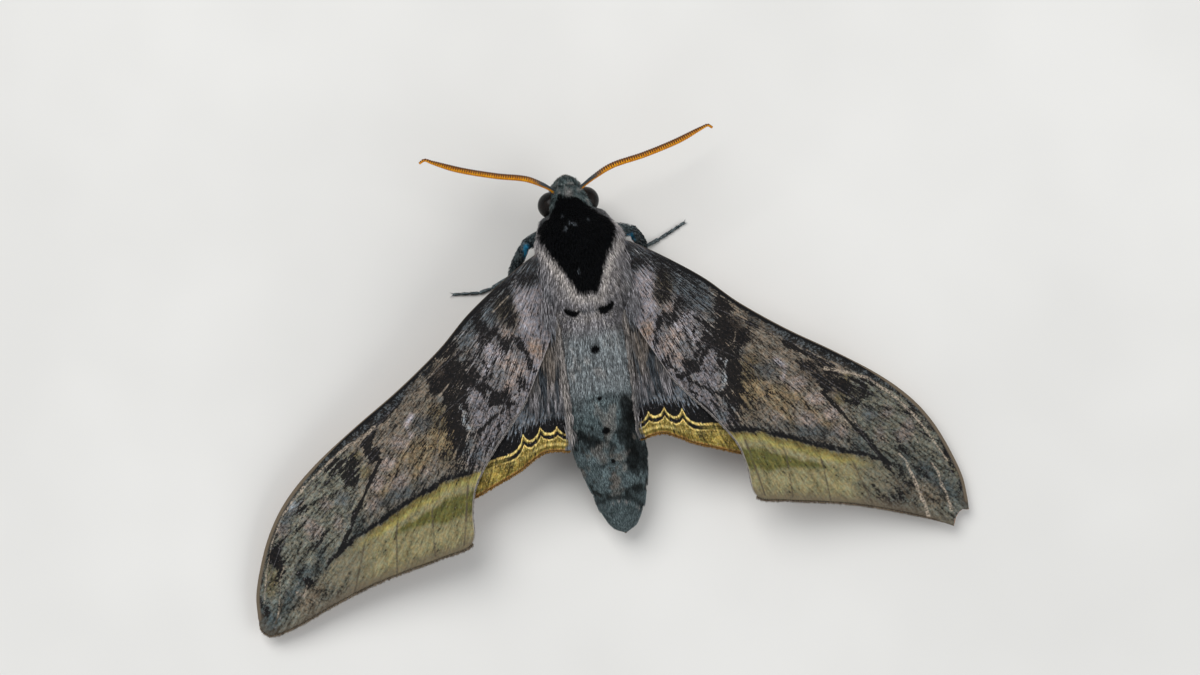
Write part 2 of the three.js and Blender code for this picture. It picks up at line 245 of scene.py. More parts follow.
def new_piece(name, points, faces, material, fields=None, tint=None, uv=None):
    """A smooth-shaded piece from drawing points; fields and tint are kept as attributes of its points."""
    mesh = bpy.data.meshes.new(name)
    mesh.from_pydata(to_frame(points).tolist(), [], [list(map(int, f)) for f in faces])
    mesh.polygons.foreach_set("use_smooth", [True] * len(mesh.polygons))
    for key, values in (fields or {}).items():
        values = np.asarray(values, np.float32)
        kind, value = ("FLOAT", "value") if values.ndim == 1 else ("FLOAT_VECTOR", "vector")
        mesh.attributes.new(key, kind, "POINT").data.foreach_set(value, values.ravel())
    if tint is not None:
        made = mesh.color_attributes.new("tint", "FLOAT_COLOR", "POINT")
        made.data.foreach_set("color", colour_values(tint))
    if uv is not None:
        corners = np.empty(len(mesh.loops), np.int32)
        mesh.loops.foreach_get("vertex_index", corners)
        values = uv(corners) if callable(uv) else np.asarray(uv)[corners]
        mesh.uv_layers.new(name="OFBake").data.foreach_set("uv", values.astype(np.float32).ravel())
    if material:
        mesh.materials.append(material)
    return placed(name, mesh)


def closed_piece(*values, **more):
    """A new piece whose faces all look outwards."""
    piece = new_piece(*values, **more)
    shape = bmesh.new()
    shape.from_mesh(piece.data)
    bmesh.ops.recalc_face_normals(shape, faces=shape.faces)
    shape.to_mesh(piece.data)
    shape.free()
    return piece


def settle(piece, slot, *nodes):
    """Every piece rides on the one body and may stand for solids, which are then hidden; slot is not used."""
    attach(piece, "root")
    if nodes:
        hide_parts(*nodes)
    return piece


def loft(rings):
    """Points and faces of a closed shell through rings of points, closed by a point at either end."""
    rings = np.asarray(rings, float)
    count, sides = rings.shape[:2]
    points = np.vstack([rings.reshape(-1, 3), rings[0].mean(0), rings[-1].mean(0)])
    first, last = count * sides, count * sides + 1
    faces = []
    for i in range(count - 1):
        for k in range(sides):
            a, b = i * sides + k, i * sides + (k + 1) % sides
            faces.append((a, b, b + sides, a + sides))
    for k in range(sides):
        faces.append((first, (k + 1) % sides, k))
        faces.append((last, (count - 1) * sides + k, (count - 1) * sides + (k + 1) % sides))
    return points, faces


def sweep(path, radii, sides=12, flat=1.0):
    """Rings round a path; each ring's first point lies sideways and its second quarter faces up."""
    path = np.asarray(path, float)
    ahead = unit(np.gradient(path, axis=0))
    side = unit(np.cross(ahead, np.where(np.abs(ahead[:, 2:]) > 0.95, [[1.0, 0, 0]], [[0, 0, 1.0]])))
    up = np.cross(side, ahead)
    angle = np.linspace(0, 2 * np.pi, sides, endpoint=False)
    out = np.cos(angle)[None, :, None] * side[:, None] + flat * np.sin(angle)[None, :, None] * up[:, None]
    radii = np.broadcast_to(np.asarray(radii, float).reshape(len(path), -1), (len(path), sides))
    return path[:, None] + radii[..., None] * out


def joined(shells):
    """Several closed shells as one list of points and faces."""
    points, faces, start = [], [], 0
    for some_points, some_faces in shells:
        points.append(some_points)
        faces += [tuple(i + start for i in face) for face in some_faces]
        start += len(some_points)
    return np.vstack(points), faces


def colour(red, green, blue):
    """A written colour of 0 to 255 as linear light."""
    c = np.array([red, green, blue]) / 255
    return np.where(c <= 0.04045, c / 12.92, ((c + 0.055) / 1.055) ** 2.4)


# ---- Shader nodes ----


class Maker:
    """Adds nodes to one node tree and joins them up."""

    def __init__(self, tree):
        self.tree = tree

    def node(self, kind, put=None, **settings):
        made = self.tree.nodes.new(kind)
        for key, value in settings.items():
            setattr(made, key, value)
        for key, value in (put or {}).items():
            self.put(made.inputs[key], value)
        return made

    def put(self, socket, value):
        if isinstance(value, bpy.types.NodeSocket):
            self.tree.links.new(value, socket)
        elif isinstance(value, np.ndarray):
            socket.default_value = [*value, 1.0][: len(socket.default_value)]
        else:
            socket.default_value = value

    def math(self, operation, a, b=0.0, c=0.0):
        return self.node("ShaderNodeMath", {0: a, 1: b, 2: c}, operation=operation).outputs[0]

    def times(self, a, *others):
        for other in others:
            a = self.math("MULTIPLY", a, other)
        return a

    def fused(self, a, b, c):
        """a times b, plus c."""
        return self.math("MULTIPLY_ADD", a, b, c)

    def vector(self, operation, a, b):
        return self.node("ShaderNodeVectorMath", {0: a, 1: b}, operation=operation).outputs[0]

    def scaled(self, vector, share):
        return self.node("ShaderNodeVectorMath", {0: vector, "Scale": share}, operation="SCALE").outputs[0]

    def mix(self, share, a, b):
        made = self.node("ShaderNodeMix", {"Factor": share}, data_type="RGBA")
        self.put(made.inputs[6], a)
        self.put(made.inputs[7], b)
        return made.outputs[2]

    def layered(self, made, layers):
        """Lays colours one over another, each by its own share."""
        for share, tone in layers:
            made = self.mix(share, made, tone)
        return made

    def step(self, value, low, high, smallest=0.0, largest=1.0):
        """Rises smoothly from smallest to largest as value goes from low to high; high may be the lower."""
        settings = {"From Min": low, "From Max": high, "To Min": smallest, "To Max": largest}
        made = self.node("ShaderNodeMapRange", {"Value": value, **settings})
        made.interpolation_type = "SMOOTHSTEP"
        return made.outputs[0]

    def attribute(self, name, output="Fac"):
        return self.node("ShaderNodeAttribute", attribute_name=name).outputs[output]

    def stretched(self, vector, x, y, z):
        return self.vector("MULTIPLY", vector, (x, y, z))

    def noise(self, vector, scale, detail=2.0, roughness=0.55):
        values = {"Vector": vector, "Scale": scale, "Detail": detail, "Roughness": roughness}
        return self.node("ShaderNodeTexNoise", values).outputs["Fac"]

    def object_place(self):
        """The place on the moth in millimetres."""
        place = self.node("ShaderNodeTexCoord").outputs["Object"]
        return self.stretched(place, 1000, 1000, 1000)

    def group(self, tree, **values):
        made = self.node("ShaderNodeGroup")
        made.node_tree = tree
        for key, value in values.items():
            self.put(made.inputs[key.replace("_", " ")], value)
        return made

    def bump(self, height, distance_mm, strength=1.0):
        values = {"Height": height, "Distance": distance_mm * MM, "Strength": strength}
        return self.node("ShaderNodeBump", values).outputs[0]


def new_group(name, inputs, outputs):
    """A shader node group; returns it with its maker, the values it is given and its results' sockets."""
    tree = bpy.data.node_groups.new(name, "ShaderNodeTree")
    for socket, kind, value in inputs:
        made = tree.interface.new_socket(socket, in_out="INPUT", socket_type=f"NodeSocket{kind}")
        if value is not None:
            made.default_value = value
    for socket, kind in outputs:
        tree.interface.new_socket(socket, in_out="OUTPUT", socket_type=f"NodeSocket{kind}")
    maker = Maker(tree)
    return tree, maker, maker.node("NodeGroupInput").outputs, maker.node("NodeGroupOutput").inputs


class Finish(Maker):
    """A material with one principled shader; plain values go straight to its sockets."""

    def __init__(self, name, **plain):
        self.material = bpy.data.materials.new(name)
        self.material.use_nodes = True
        super().__init__(self.material.node_tree)
        self.done(**plain)

    def done(self, **values):
        shader = self.tree.nodes["Principled BSDF"]
        for key, value in values.items():
            self.put(shader.inputs[key.replace("_", " ")], value)
        return self.material


def fleck_group():
    """Mottles a colour at three sizes, as overlapping scales of slightly different tones do."""
    inputs = [("Colour", "Color", None), ("Place", "Vector", None), ("Size", "Float", 1.0),
              ("Depth", "Float", 0.3)]
    tree, m, given, result = new_group("scale_flecks", inputs, [("Colour", "Color"), ("Height", "Float")])
    place = m.scaled(given["Place"], m.math("DIVIDE", 1.0, given["Size"]))
    coarse, middle, fine = m.noise(place, 1.1, 3.0), m.noise(place, 4.5, 2.0), m.noise(place, 12.0, 1.0)
    total = m.fused(coarse, 0.9, m.fused(middle, 0.8, m.times(fine, 0.9)))
    tone = m.fused(m.math("SUBTRACT", total, 1.3), given["Depth"], 1.0)
    m.put(result["Colour"], m.scaled(given["Colour"], tone))
    m.put(result["Height"], m.fused(middle, 0.4, fine))
    return tree


FLECKS = fleck_group()


# ---- Fur: tufts grown on a skin by Geometry Nodes ----

TUFT_PATCH = 0.003  # how wide one tuft is on the unwrapped skin
FAR_OFF = 1000.0  # mm, beyond either end of the moth


def tuft_shape():
    """One tuft: a thin three-sided blade along +Y, arched in Z, one long and two wide."""
    points = []
    for y, half, arch in ((0.0, 0.55, 0.0), (0.45, 1.0, 0.16)):
        for side, lift in ((-1, 0.0), (0, 0.035), (1, 0.0)):
            points.append((side * half, y, arch + lift * half))
    points.append((0.0, 1.0, 0.06))
    faces = []
    for k in range(3):
        j = (k + 1) % 3
        faces += [(k, j, j + 3, k + 3), (k + 3, j + 3, 6)]
    faces.append((2, 1, 0))
    mesh = bpy.data.meshes.new("tuft_shape")
    mesh.from_pydata(points, [], faces)
    mesh.polygons.foreach_set("use_smooth", [True] * len(mesh.polygons))
    for key, axis in (("along", 1), ("across", 0)):
        values = [point[axis] for point in points]
        mesh.attributes.new(key, "FLOAT", "POINT").data.foreach_set("value", values)
    return placed("tuft_shape", mesh)


TUFT = tuft_shape()


def growth_tree(name, on_edges=False):
    """Grows tufts on a skin's faces, or along its edges. The skin's attributes say how:
    lie is the way the hair points, coat its length in millimetres and thick how dense it stands."""
    tree = bpy.data.node_groups.new(name, "GeometryNodeTree")
    m = Maker(tree)
    kinds = {"Skin": "Geometry", "Tuft": "Object", "Finish": "Material", "Seed": "Int"}
    plain = ("Density", "Spacing", "Length", "Width", "Lift", "Mess", "From", "To")
    for socket, kind in {**kinds, **dict.fromkeys(plain, "Float")}.items():
        tree.interface.new_socket(socket, in_out="INPUT", socket_type=f"NodeSocket{kind}")
    tree.interface.new_socket("Coat", in_out="OUTPUT", socket_type="NodeSocketGeometry")
    given = m.node("NodeGroupInput").outputs

    def field(key, kind="FLOAT"):
        return m.node("GeometryNodeInputNamedAttribute", {"Name": key}, data_type=kind).outputs[0]

    def stored(geometry, key, value, **settings):
        made = m.node("GeometryNodeStoreNamedAttribute", {"Geometry": geometry, "Name": key}, **settings)
        m.put(made.inputs["Value"], value)
        return made.outputs[0]

    def without(geometry, key):
        return m.node("GeometryNodeRemoveAttribute", {"Geometry": geometry, "Name": key}).outputs[0]

    def random(low, high, extra, kind="FLOAT"):
        made = m.node("FunctionNodeRandomValue", data_type=kind)
        first = {"FLOAT": 2, "FLOAT_VECTOR": 0}[kind]
        m.put(made.inputs[first], low)
        m.put(made.inputs[first + 1], high)
        m.put(made.inputs["Seed"], m.math("ADD", given["Seed"], float(extra)))
        return made.outputs[first // 2]

    if on_edges:
        curve = m.node("GeometryNodeMeshToCurve", {"Mesh": given["Skin"]}).outputs[0]
        settings = {"Curve": curve, "Length": given["Spacing"]}
        spread = m.node("GeometryNodeResampleCurve", settings, mode="LENGTH").outputs[0]
        points = m.node("GeometryNodeCurveToPoints", {"Curve": spread}, mode="EVALUATED").outputs["Points"]
        normal = field("face_up", "FLOAT_VECTOR")
    else:
        place = m.node("GeometryNodeInputPosition").outputs[0]
        place = m.node("ShaderNodeSeparateXYZ", {0: place}).outputs["Y"]
        here = m.node("FunctionNodeCompare", {0: place, 1: given["From"]}, operation="GREATER_EQUAL")
        before = m.node("FunctionNodeCompare", {0: place, 1: given["To"]}, operation="LESS_THAN")
        both = {0: here.outputs[0], 1: before.outputs[0]}
        chosen = m.node("FunctionNodeBooleanMath", both, operation="AND").outputs[0]
        spread = m.node("GeometryNodeDistributePointsOnFaces", {"Mesh": given["Skin"], "Selection": chosen})
        m.put(spread.inputs["Density"], m.times(given["Density"], field("thick")))
        m.put(spread.inputs["Seed"], given["Seed"])
        points, normal = spread.outputs["Points"], spread.outputs["Normal"]
    points = stored(points, "root_uv", field("OFBake", "FLOAT_VECTOR"), data_type="FLOAT_VECTOR")
    points = stored(without(points, "OFBake"), "shade", random(0.0, 1.0, 1))
    stray = random((-1, -1, -1), (1, 1, 1), 2, "FLOAT_VECTOR")
    way = m.vector("ADD", field("lie", "FLOAT_VECTOR"), m.scaled(normal, given["Lift"]))
    way = m.vector("ADD", way, m.scaled(stray, given["Mess"]))
    turn = m.node("FunctionNodeAxesToRotation", {0: way, 1: normal}, primary_axis="Y", secondary_axis="Z")
    grown = m.times(field("coat"), given["Length"], random(0.65, 1.2, 3))
    broad = m.times(given["Width"], random(0.7, 1.3, 4))
    size = m.node("ShaderNodeCombineXYZ", {0: broad, 1: grown, 2: grown})
    shape = m.node("GeometryNodeObjectInfo", {0: given["Tuft"]}).outputs["Geometry"]
    tufts = {"Points": points, "Instance": shape, "Rotation": turn.outputs[0], "Scale": size.outputs[0]}
    grown = m.node("GeometryNodeInstanceOnPoints", tufts)
    real = m.node("GeometryNodeRealizeInstances", {0: grown.outputs[0]})
    within = m.node("ShaderNodeCombineXYZ", {0: field("across"), 1: field("along")}).outputs[0]
    unwrapped = m.vector("ADD", field("root_uv", "FLOAT_VECTOR"), m.scaled(within, TUFT_PATCH / 2))
    coat = stored(real.outputs[0], "OFBake", unwrapped, data_type="FLOAT2", domain="CORNER")
    finish = {"Geometry": without(coat, "root_uv"), "Material": given["Finish"]}
    m.put(m.node("NodeGroupOutput").inputs[0], m.node("GeometryNodeSetMaterial", finish).outputs[0])
    return tree


FUR_TREE = growth_tree("grow_fur")
FRINGE_TREE = growth_tree("grow_fringe", on_edges=True)


def grow(name, skin, slot, tree=FUR_TREE, paint=None, **values):
    """Grows a coat on a skin and keeps it as a plain mesh of its own, painted anew where paint is given."""
    settings = {"Tuft": TUFT, "Finish": FUR, "Length": 1.0, "Lift": 0.2, "Mess": 0.15, "Seed": 1,
                "Width": 0.05, "Spacing": 0.1, "Density": 50.0, "From": -FAR_OFF, "To": FAR_OFF, **values}
    stand = placed(name + "_stand", skin.data)
    modifier = stand.modifiers.new("fur", "NODES")
    modifier.node_group = tree
    for socket in tree.interface.items_tree:
        if socket.in_out == "INPUT" and socket.name in settings:
            value = settings[socket.name]
            if socket.name in {"Length", "Spacing", "Width", "From", "To"}:
                value = value * MM
            if socket.name in {"From", "To"}:
                value += SHIFT[1]
            if socket.name == "Density":
                value = value / MM**2
            modifier[socket.identifier] = value
    mesh = made_real(stand)
    bpy.data.objects.remove(stand)
    mesh.name = name
    for spare in ("coat", "thick", "lie", "across", "face_up"):
        if spare in mesh.attributes:
            mesh.attributes.remove(mesh.attributes[spare])
    if paint:
        mesh.attributes["tint"].data.foreach_set("color", colour_values(paint(mesh_points(mesh))))
    return settle(placed(name, mesh), slot)


# ---- Fur material ----


def fur_material():
    """Hair scales: the marking's own colour with painted shade towards the roots, each tuft a little
    different.
    """
    m = Finish("body_fur", Specular_IOR_Level=0.08)
    # painted shade: each tuft is darkest at its root, deep in the coat, and a little lighter at its tip
    tip = m.step(m.attribute("along"), 0.0, 0.8, 0.42, 1.15)
    each = m.step(m.attribute("shade"), 0.0, 1.0, 0.5, 1.5)
    toned = m.scaled(m.attribute("tint", "Color"), m.times(tip, each))
    flecked = m.group(FLECKS, Colour=toned, Place=m.object_place(), Size=1.6, Depth=0.45)
    rough = m.step(m.attribute("shade"), 0.0, 1.0, 0.55, 0.85)
    return m.done(Base_Color=flecked.outputs["Colour"], Roughness=rough)


def skin_material():
    """The skin under the coat, in the coat's own colours and with short flat hair as bump."""
    m = Finish("skin_under_fur", Specular_IOR_Level=0.08)
    place = m.object_place()
    flecked = m.group(FLECKS, Colour=m.attribute("tint", "Color"), Place=place, Size=1.2, Depth=0.5)
    hair = m.noise(m.stretched(place, 14, 2.5, 14), 1.0, 3.0)
    darker = m.scaled(flecked.outputs["Colour"], m.step(hair, 0.3, 0.7, 0.55, 0.95))
    return m.done(Base_Color=darker, Roughness=m.step(hair, 0.3, 0.7, 0.9, 0.7),
                  Normal=m.bump(hair, 0.08, 0.8))


FUR = fur_material()
SKIN = skin_material()

# ---- Body: one skin for head, thorax, wing-root flaps, abdomen and tail ----

# Place along the body, half width, top and bottom of the coat's outer surface.
TRUNK = [
    (-8.95, 0, 6.9, 6.9), (-8.75, 0.75, 7.9, 5.7), (-8.3, 1.35, 8.65, 5.0), (-7.6, 1.8, 9.2, 4.3),
    (-6.7, 2.15, 9.5, 3.9), (-5.9, 2.45, 9.7, 3.7), (-5.2, 2.85, 9.9, 3.6), (-4.2, 4.0, 10.6, 3.0),
    (-2.4, 4.8, 11.8, 2.4), (0.2, 5.0, 12.6, 1.9), (3.2, 5.1, 12.9, 1.6), (6.2, 4.9, 12.3, 1.7),
    (9.2, 4.5, 11.1, 1.9), (12.5, 4.3, 10.3, 1.8), (16.5, 4.25, 9.7, 1.6), (20.5, 4.3, 8.9, 1.4),
    (23.5, 4.4, 8.2, 1.3), (26, 4.0, 7.5, 1.2), (28, 3.45, 6.9, 1.15), (29.8, 2.95, 6.2, 1.2),
    (31.5, 2.3, 5.3, 1.3), (32.9, 1.45, 4.5, 1.7), (33.8, 0, 3.1, 3.1),
]
TRUNK_Y = [row[0] for row in TRUNK]
TRUNK_MIDDLE = [(row[2] + row[3]) / 2 for row in TRUNK]
TAIL_BEND, TAIL_BEND_FROM, TAIL_BEND_TO = -0.75, 20.0, 29.0
HEAD_SHIFT, HEAD_SHIFT_FROM, HEAD_SHIFT_TO = 0.22, -4.5, -7.5  # the head sits a little to the moth's left
RINGS_FROM, RING_EDGES = 9.6, (13.2, 17.0, 21.3, 25.0, 28.2, 30.6)  # where the abdomen's rings start and end
RING_FALL = 0.13  # mm, how far each ring widens before the next one starts
SKIN_AROUND, SKIN_ALONG, PROFILE_STATIONS = 112, 300, 3000
FLAP_ANGLE, FLAP_RISE = 35, 1.35  # the furred flaps over the wing roots
EYE_CENTRES = {side: np.array([HEAD_SHIFT + side * 2.05, -5.95, 6.9]) for side in (1, -1)}
EYE_RADIUS, EYE_TALL = 1.6, 1.12


def midline(y):
    at_head = 1 - rise(y, HEAD_SHIFT_TO, HEAD_SHIFT_FROM)
    return TAIL_BEND * rise(y, TAIL_BEND_FROM, TAIL_BEND_TO) + HEAD_SHIFT * at_head


def coat_depth(y):
    """How far the skin lies under the tips of the coat."""
    return np.interp(y, [-9.1, -7, -5, -2, 4, 9, 13, 24, 31, 34.1],
                     [0.2, 0.2, 0.35, 0.5, 0.6, 0.6, 0.4, 0.28, 0.2, 0.15])


def coat_length(x, y, up):
    """Length of the hair in millimetres; up is 1 on the back and -1 on the belly."""
    length = np.interp(
        y,
        [-9.1, -7.6, -6.5, -4.6, -2, 3, 7, 11, 15, 20, 28, 30, 32.5, 33.4, 34],
        [0.55, 0.55, 0.6, 0.62, 0.8, 0.9, 1.0, 1.2, 1.0, 0.7, 0.6, 0.7, 0.5, 0.2, 0.1],
    )
    flank = rise(np.abs(x), 2.6, 4.6) * rise(y, -5, -1) * (1 - rise(y, 7, 11))
    length = length + np.interp(y, [0, 3, 6], [0.35, 0.7, 1.2]) * flank * rise(up, -0.2, 0.4)
    xy = np.column_stack([x, y])
    marks = all_of([*(patch(xy, shape) for shape in CRESCENTS),
                    *(spot(xy, *place) for place in MEDIAN_SPOTS)])
    length = length * (1 - 0.55 * np.exp(-((np.maximum(marks, 0) / 0.8) ** 2)))
    return np.where(up < -0.3, np.minimum(length, 1.0), length)


# Markings of the body, in the drawing's millimetres.
VELVET = [
    (1.2, -6.9), (0.2, -6.65), (-0.9, -6.0), (-2.0, -5.1), (-3.05, -4.05), (-4.0, -3.3), (-4.4, -2.3),
    (-4.2, -1.1), (-3.5, 0.2), (-2.6, 1.3), (-2.1, 2.45), (-1.5, 3.8), (-1.1, 4.9), (-0.7, 5.3), (0.0, 5.1),
    (1.1, 5.1), (1.4, 4.8), (1.75, 3.9), (2.1, 3.2), (2.5, 2.3), (3.0, 1.6), (3.4, 0.7), (4.3, -0.6),
    (4.8, -1.8), (4.75, -2.8), (4.0, -3.8), (2.8, -4.8), (2.2, -5.6), (2.2, -6.2), (1.8, -6.7),
]
VELVET_FLECKS = [(0.87, -3.4, 0.2), (1.45, -2.85, 0.2), (0.4, -3.15, 0.1), (-1.4, -3.5, 0.1),
                 (0.83, 2.45, 0.2), (1.5, -4.4, 0.1)]
CRESCENTS = [
    [(3.2, 6.2), (2.45, 6.55), (1.35, 6.9), (1.5, 7.3), (2.1, 7.6), (2.8, 7.25), (3.15, 6.7)],
    [(-0.8, 6.8), (-1.35, 6.7), (-2.0, 6.55), (-2.75, 6.2), (-2.8, 6.7), (-2.35, 7.4), (-1.5, 7.75),
     (-0.85, 7.6)],
]
MEDIAN_SPOTS = [(0.19, 11.6, 0.5), (0.46, 17.35, 0.26), (0.24, 21.25, 0.45), (-0.13, 24.9, 0.28)]
TAIL_ARC = [(1.95, 30.1), (1.05, 29.8), (-0.3, 29.75), (-1.7, 30.2), (-2.85, 31.3)]
BLOTCHES = [
    [(3.2, 21.4), (2.1, 22.3), (1.4, 22.6)], [(-2.6, 18.2), (-2.9, 20.4)],
    [(-2.2, 22.4), (-2.8, 24.6), (-2.4, 25.8)],
]
SMUDGES = [[(1.0, 18.2), (0.3, 20.2)], [(-0.9, 18.6), (-0.5, 20.2), (0.4, 22.8)], [(1.5, 23.4), (0.9, 24.8)]]

BLACK = colour(3, 4, 6)
HAIR_GREY = colour(154, 150, 152)
HAIR_PALE = colour(192, 184, 178)
HAIR_BLUE = colour(112, 118, 124)
ABDOMEN_GREY = colour(150, 156, 158)
ABDOMEN_SLATE = colour(108, 122, 124)
ABDOMEN_DARK = colour(30, 33, 33)
ABDOMEN_WARM = colour(140, 134, 126)
SMUDGE_GREY = colour(142, 138, 132)
BELLY = colour(150, 118, 84)
FACE_GREY = colour(102, 115, 115)
FACE_DARK = colour(40, 49, 50)


def facing_up(points):
    """How far each place on the body faces up: 1 on the back, -1 on the belly."""
    x, y, z = points.T
    return np.sin(np.arctan2(z - np.interp(y, TRUNK_Y, TRUNK_MIDDLE), np.abs(x - midline(y)) + 1e-6))


def body_colour(place):
    """The coat's colour at places on the body, with painted shade on the moth's right side."""
    x, y = place[:, 0], place[:, 1]
    up, xy, off = facing_up(place), place[:, :2], x - midline(y)
    large, small, tiny = noise(place, 1.6, 3), noise(place, 0.45, 5), noise(place, 0.2, 6)

    def within(field, low, high):
        """1 inside a marking of the back and 0 outside it."""
        return (1 - rise(field, low, high)) * (up > 0)

    at_waist = rise(y, 8.5, 11)
    made = layered(HAIR_GREY, [
        (HAIR_PALE, rise(large + 0.7 * small, -0.1, 0.9) * 0.6),
        (HAIR_BLUE, rise(np.abs(off), 3.6, 5.4) * rise(y, 1, 7) * 0.8),
        (ABDOMEN_GREY, at_waist),
        (HAIR_PALE, rise(small + large, 0.2, 1.2) * at_waist * (1 - rise(y, 15, 18)) * 0.4),
        (ABDOMEN_SLATE, rise(y + 1.2 * large, 14.8, 19.2)),
    ])
    # painted shade: the thorax and waist are darker on the moth's right side
    shaded = rise(-off, 1.2, 3.4) * rise(y, -3, 0) * (1 - rise(y, 8, 12))
    made = made * (1 - 0.3 * shaded)[:, None]
    radius, turn = np.hypot(x, y + 9), np.degrees(np.arctan2(x, y + 9))
    strands = noise(np.column_stack([turn * 1.2, radius * 0.45]), 1.0, 12)
    made = made * (1 + strands * np.interp(y, [-5, -2, 10, 16, 20], [0, 0.45, 0.4, 0.25, 0.15]))[:, None]
    # dark mottling of the abdomen, heavier on the moth's right
    right = rise(-off, -0.5, 2.6)
    mottle = rise(noise(place, 1.2, 8) + 0.8 * small + 0.9 * right, 0.15, 0.9)
    reach = rise(y + large, 16.5, 18.5) * (1 - rise(y, 28.8, 29.8))
    pale = rise(noise(place, 1.5, 9) + 0.5 * small - 0.4 * right, 0.2, 0.8)
    made = layered(made, [(ABDOMEN_DARK, mottle * reach * 0.88), (ABDOMEN_WARM, pale * reach * 0.7)])
    for blotch in BLOTCHES:
        dark = stroke(xy, blotch, 0.9) + 0.45 * small + 0.4 * large
        made = blend(made, ABDOMEN_DARK * 0.6, within(dark, -0.1, 0.5) * 0.9)
    for smudge in SMUDGES:
        pale = stroke(xy, smudge, 0.45) + 0.45 * small + 0.3 * large
        made = blend(made, SMUDGE_GREY, within(pale, -0.1, 0.5) * 0.6)
    for edge in RING_EDGES[1:-1]:
        made = blend(made, ABDOMEN_DARK, np.exp(-(((y - edge - 0.2 + 0.12 * large) / 0.22) ** 2)) * 0.35)
    arc = line_distance(xy, TAIL_ARC)
    behind = rise(y - np.interp(-x, *(np.array(TAIL_ARC) * (-1, 1)).T), 0.0, 0.3) * (y > 28)
    before = np.exp(-(((arc - 0.55) / 0.4) ** 2)) * (1 - behind) * (y > 28)
    pale = np.exp(-((arc / 0.12) ** 2)) * rise(small + 0.5 * tiny, -0.2, 0.5) * (up > 0.2)
    made = layered(made, [
        (ABDOMEN_SLATE * 0.85 * (1 + 0.3 * small[:, None]), behind),
        (ABDOMEN_DARK * 0.6, before * 0.8),
        (HAIR_PALE * 1.4, pale),
    ])
    for median in MEDIAN_SPOTS:
        made = blend(made, BLACK, within(spot(xy, *median) + 0.1 * small, -0.06, 0.1))
    # head and face, mottled, paler in the middle of the face, darker at its very front, round the neck and
    # behind each eye
    face = layered(FACE_GREY, [
        (FACE_DARK, rise(0.6 * large + small + 0.5 * tiny, -0.15, 0.45) * 0.92),
        (HAIR_PALE * 0.9, rise(-small - 0.4 * large, 0.3, 0.9) * 0.6),
        (HAIR_PALE * 0.8, np.exp(-((off - 0.15) ** 2 + (y + 7.0) ** 2) / 0.25) * 0.6),
        (FACE_DARK, (1 - rise(y, -8.7, -8.2)) * 0.7),
    ])
    made = blend(face, made, rise(y, -5.4, -4.2))
    collar = np.exp(-(((y + 4.75) / 0.4) ** 2)) * 0.6 * (1 - rise(up, 0.75, 0.95))
    behind_eye = np.exp(-(((np.abs(x) - 3.7) ** 2 + (y + 4.0) ** 2) / 0.7)) * (0.75 + 0.5 * small)
    made = layered(made, [(FACE_DARK, collar), (FACE_DARK, behind_eye)])
    # the black velvet patch with its pale border, and the two crescents behind it
    velvet = patch(xy, VELVET) + 0.13 * small + 0.08 * tiny + 0.22 * (small + tiny) * (1 - rise(y, -5, -3.5))
    border = np.exp(-(((velvet - 0.55) / 0.5) ** 2)) * rise(y, -3.5, 2.5)
    made = blend(made, HAIR_PALE * 1.08, border * 0.85)
    black, broken = BLACK, 0.15 * small + 0.3 * noise(place, 0.1, 7)
    for fleck in VELVET_FLECKS:
        black = blend(black, HAIR_BLUE, (1 - rise(spot(xy, *fleck) + broken, -0.1, 0.02)) * 0.6)
    made = blend(made, black, within(velvet, -0.07, 0.07))
    link = stroke(xy, [(1.5, 7.0), (0.3, 6.95), (-0.9, 7.1)], 0.12) + 0.04 * small
    made = blend(made, FACE_DARK, within(link, 0.0, 0.16) * 0.75)
    for crescent in CRESCENTS:
        made = blend(made, BLACK, within(patch(xy, crescent) + 0.07 * small, -0.07, 0.07))
    # the underside is buff with grey down its sides
    return blend(made, BELLY * (1 + 0.2 * large[:, None]), rise(-up, 0.25, 0.75) * 0.8)


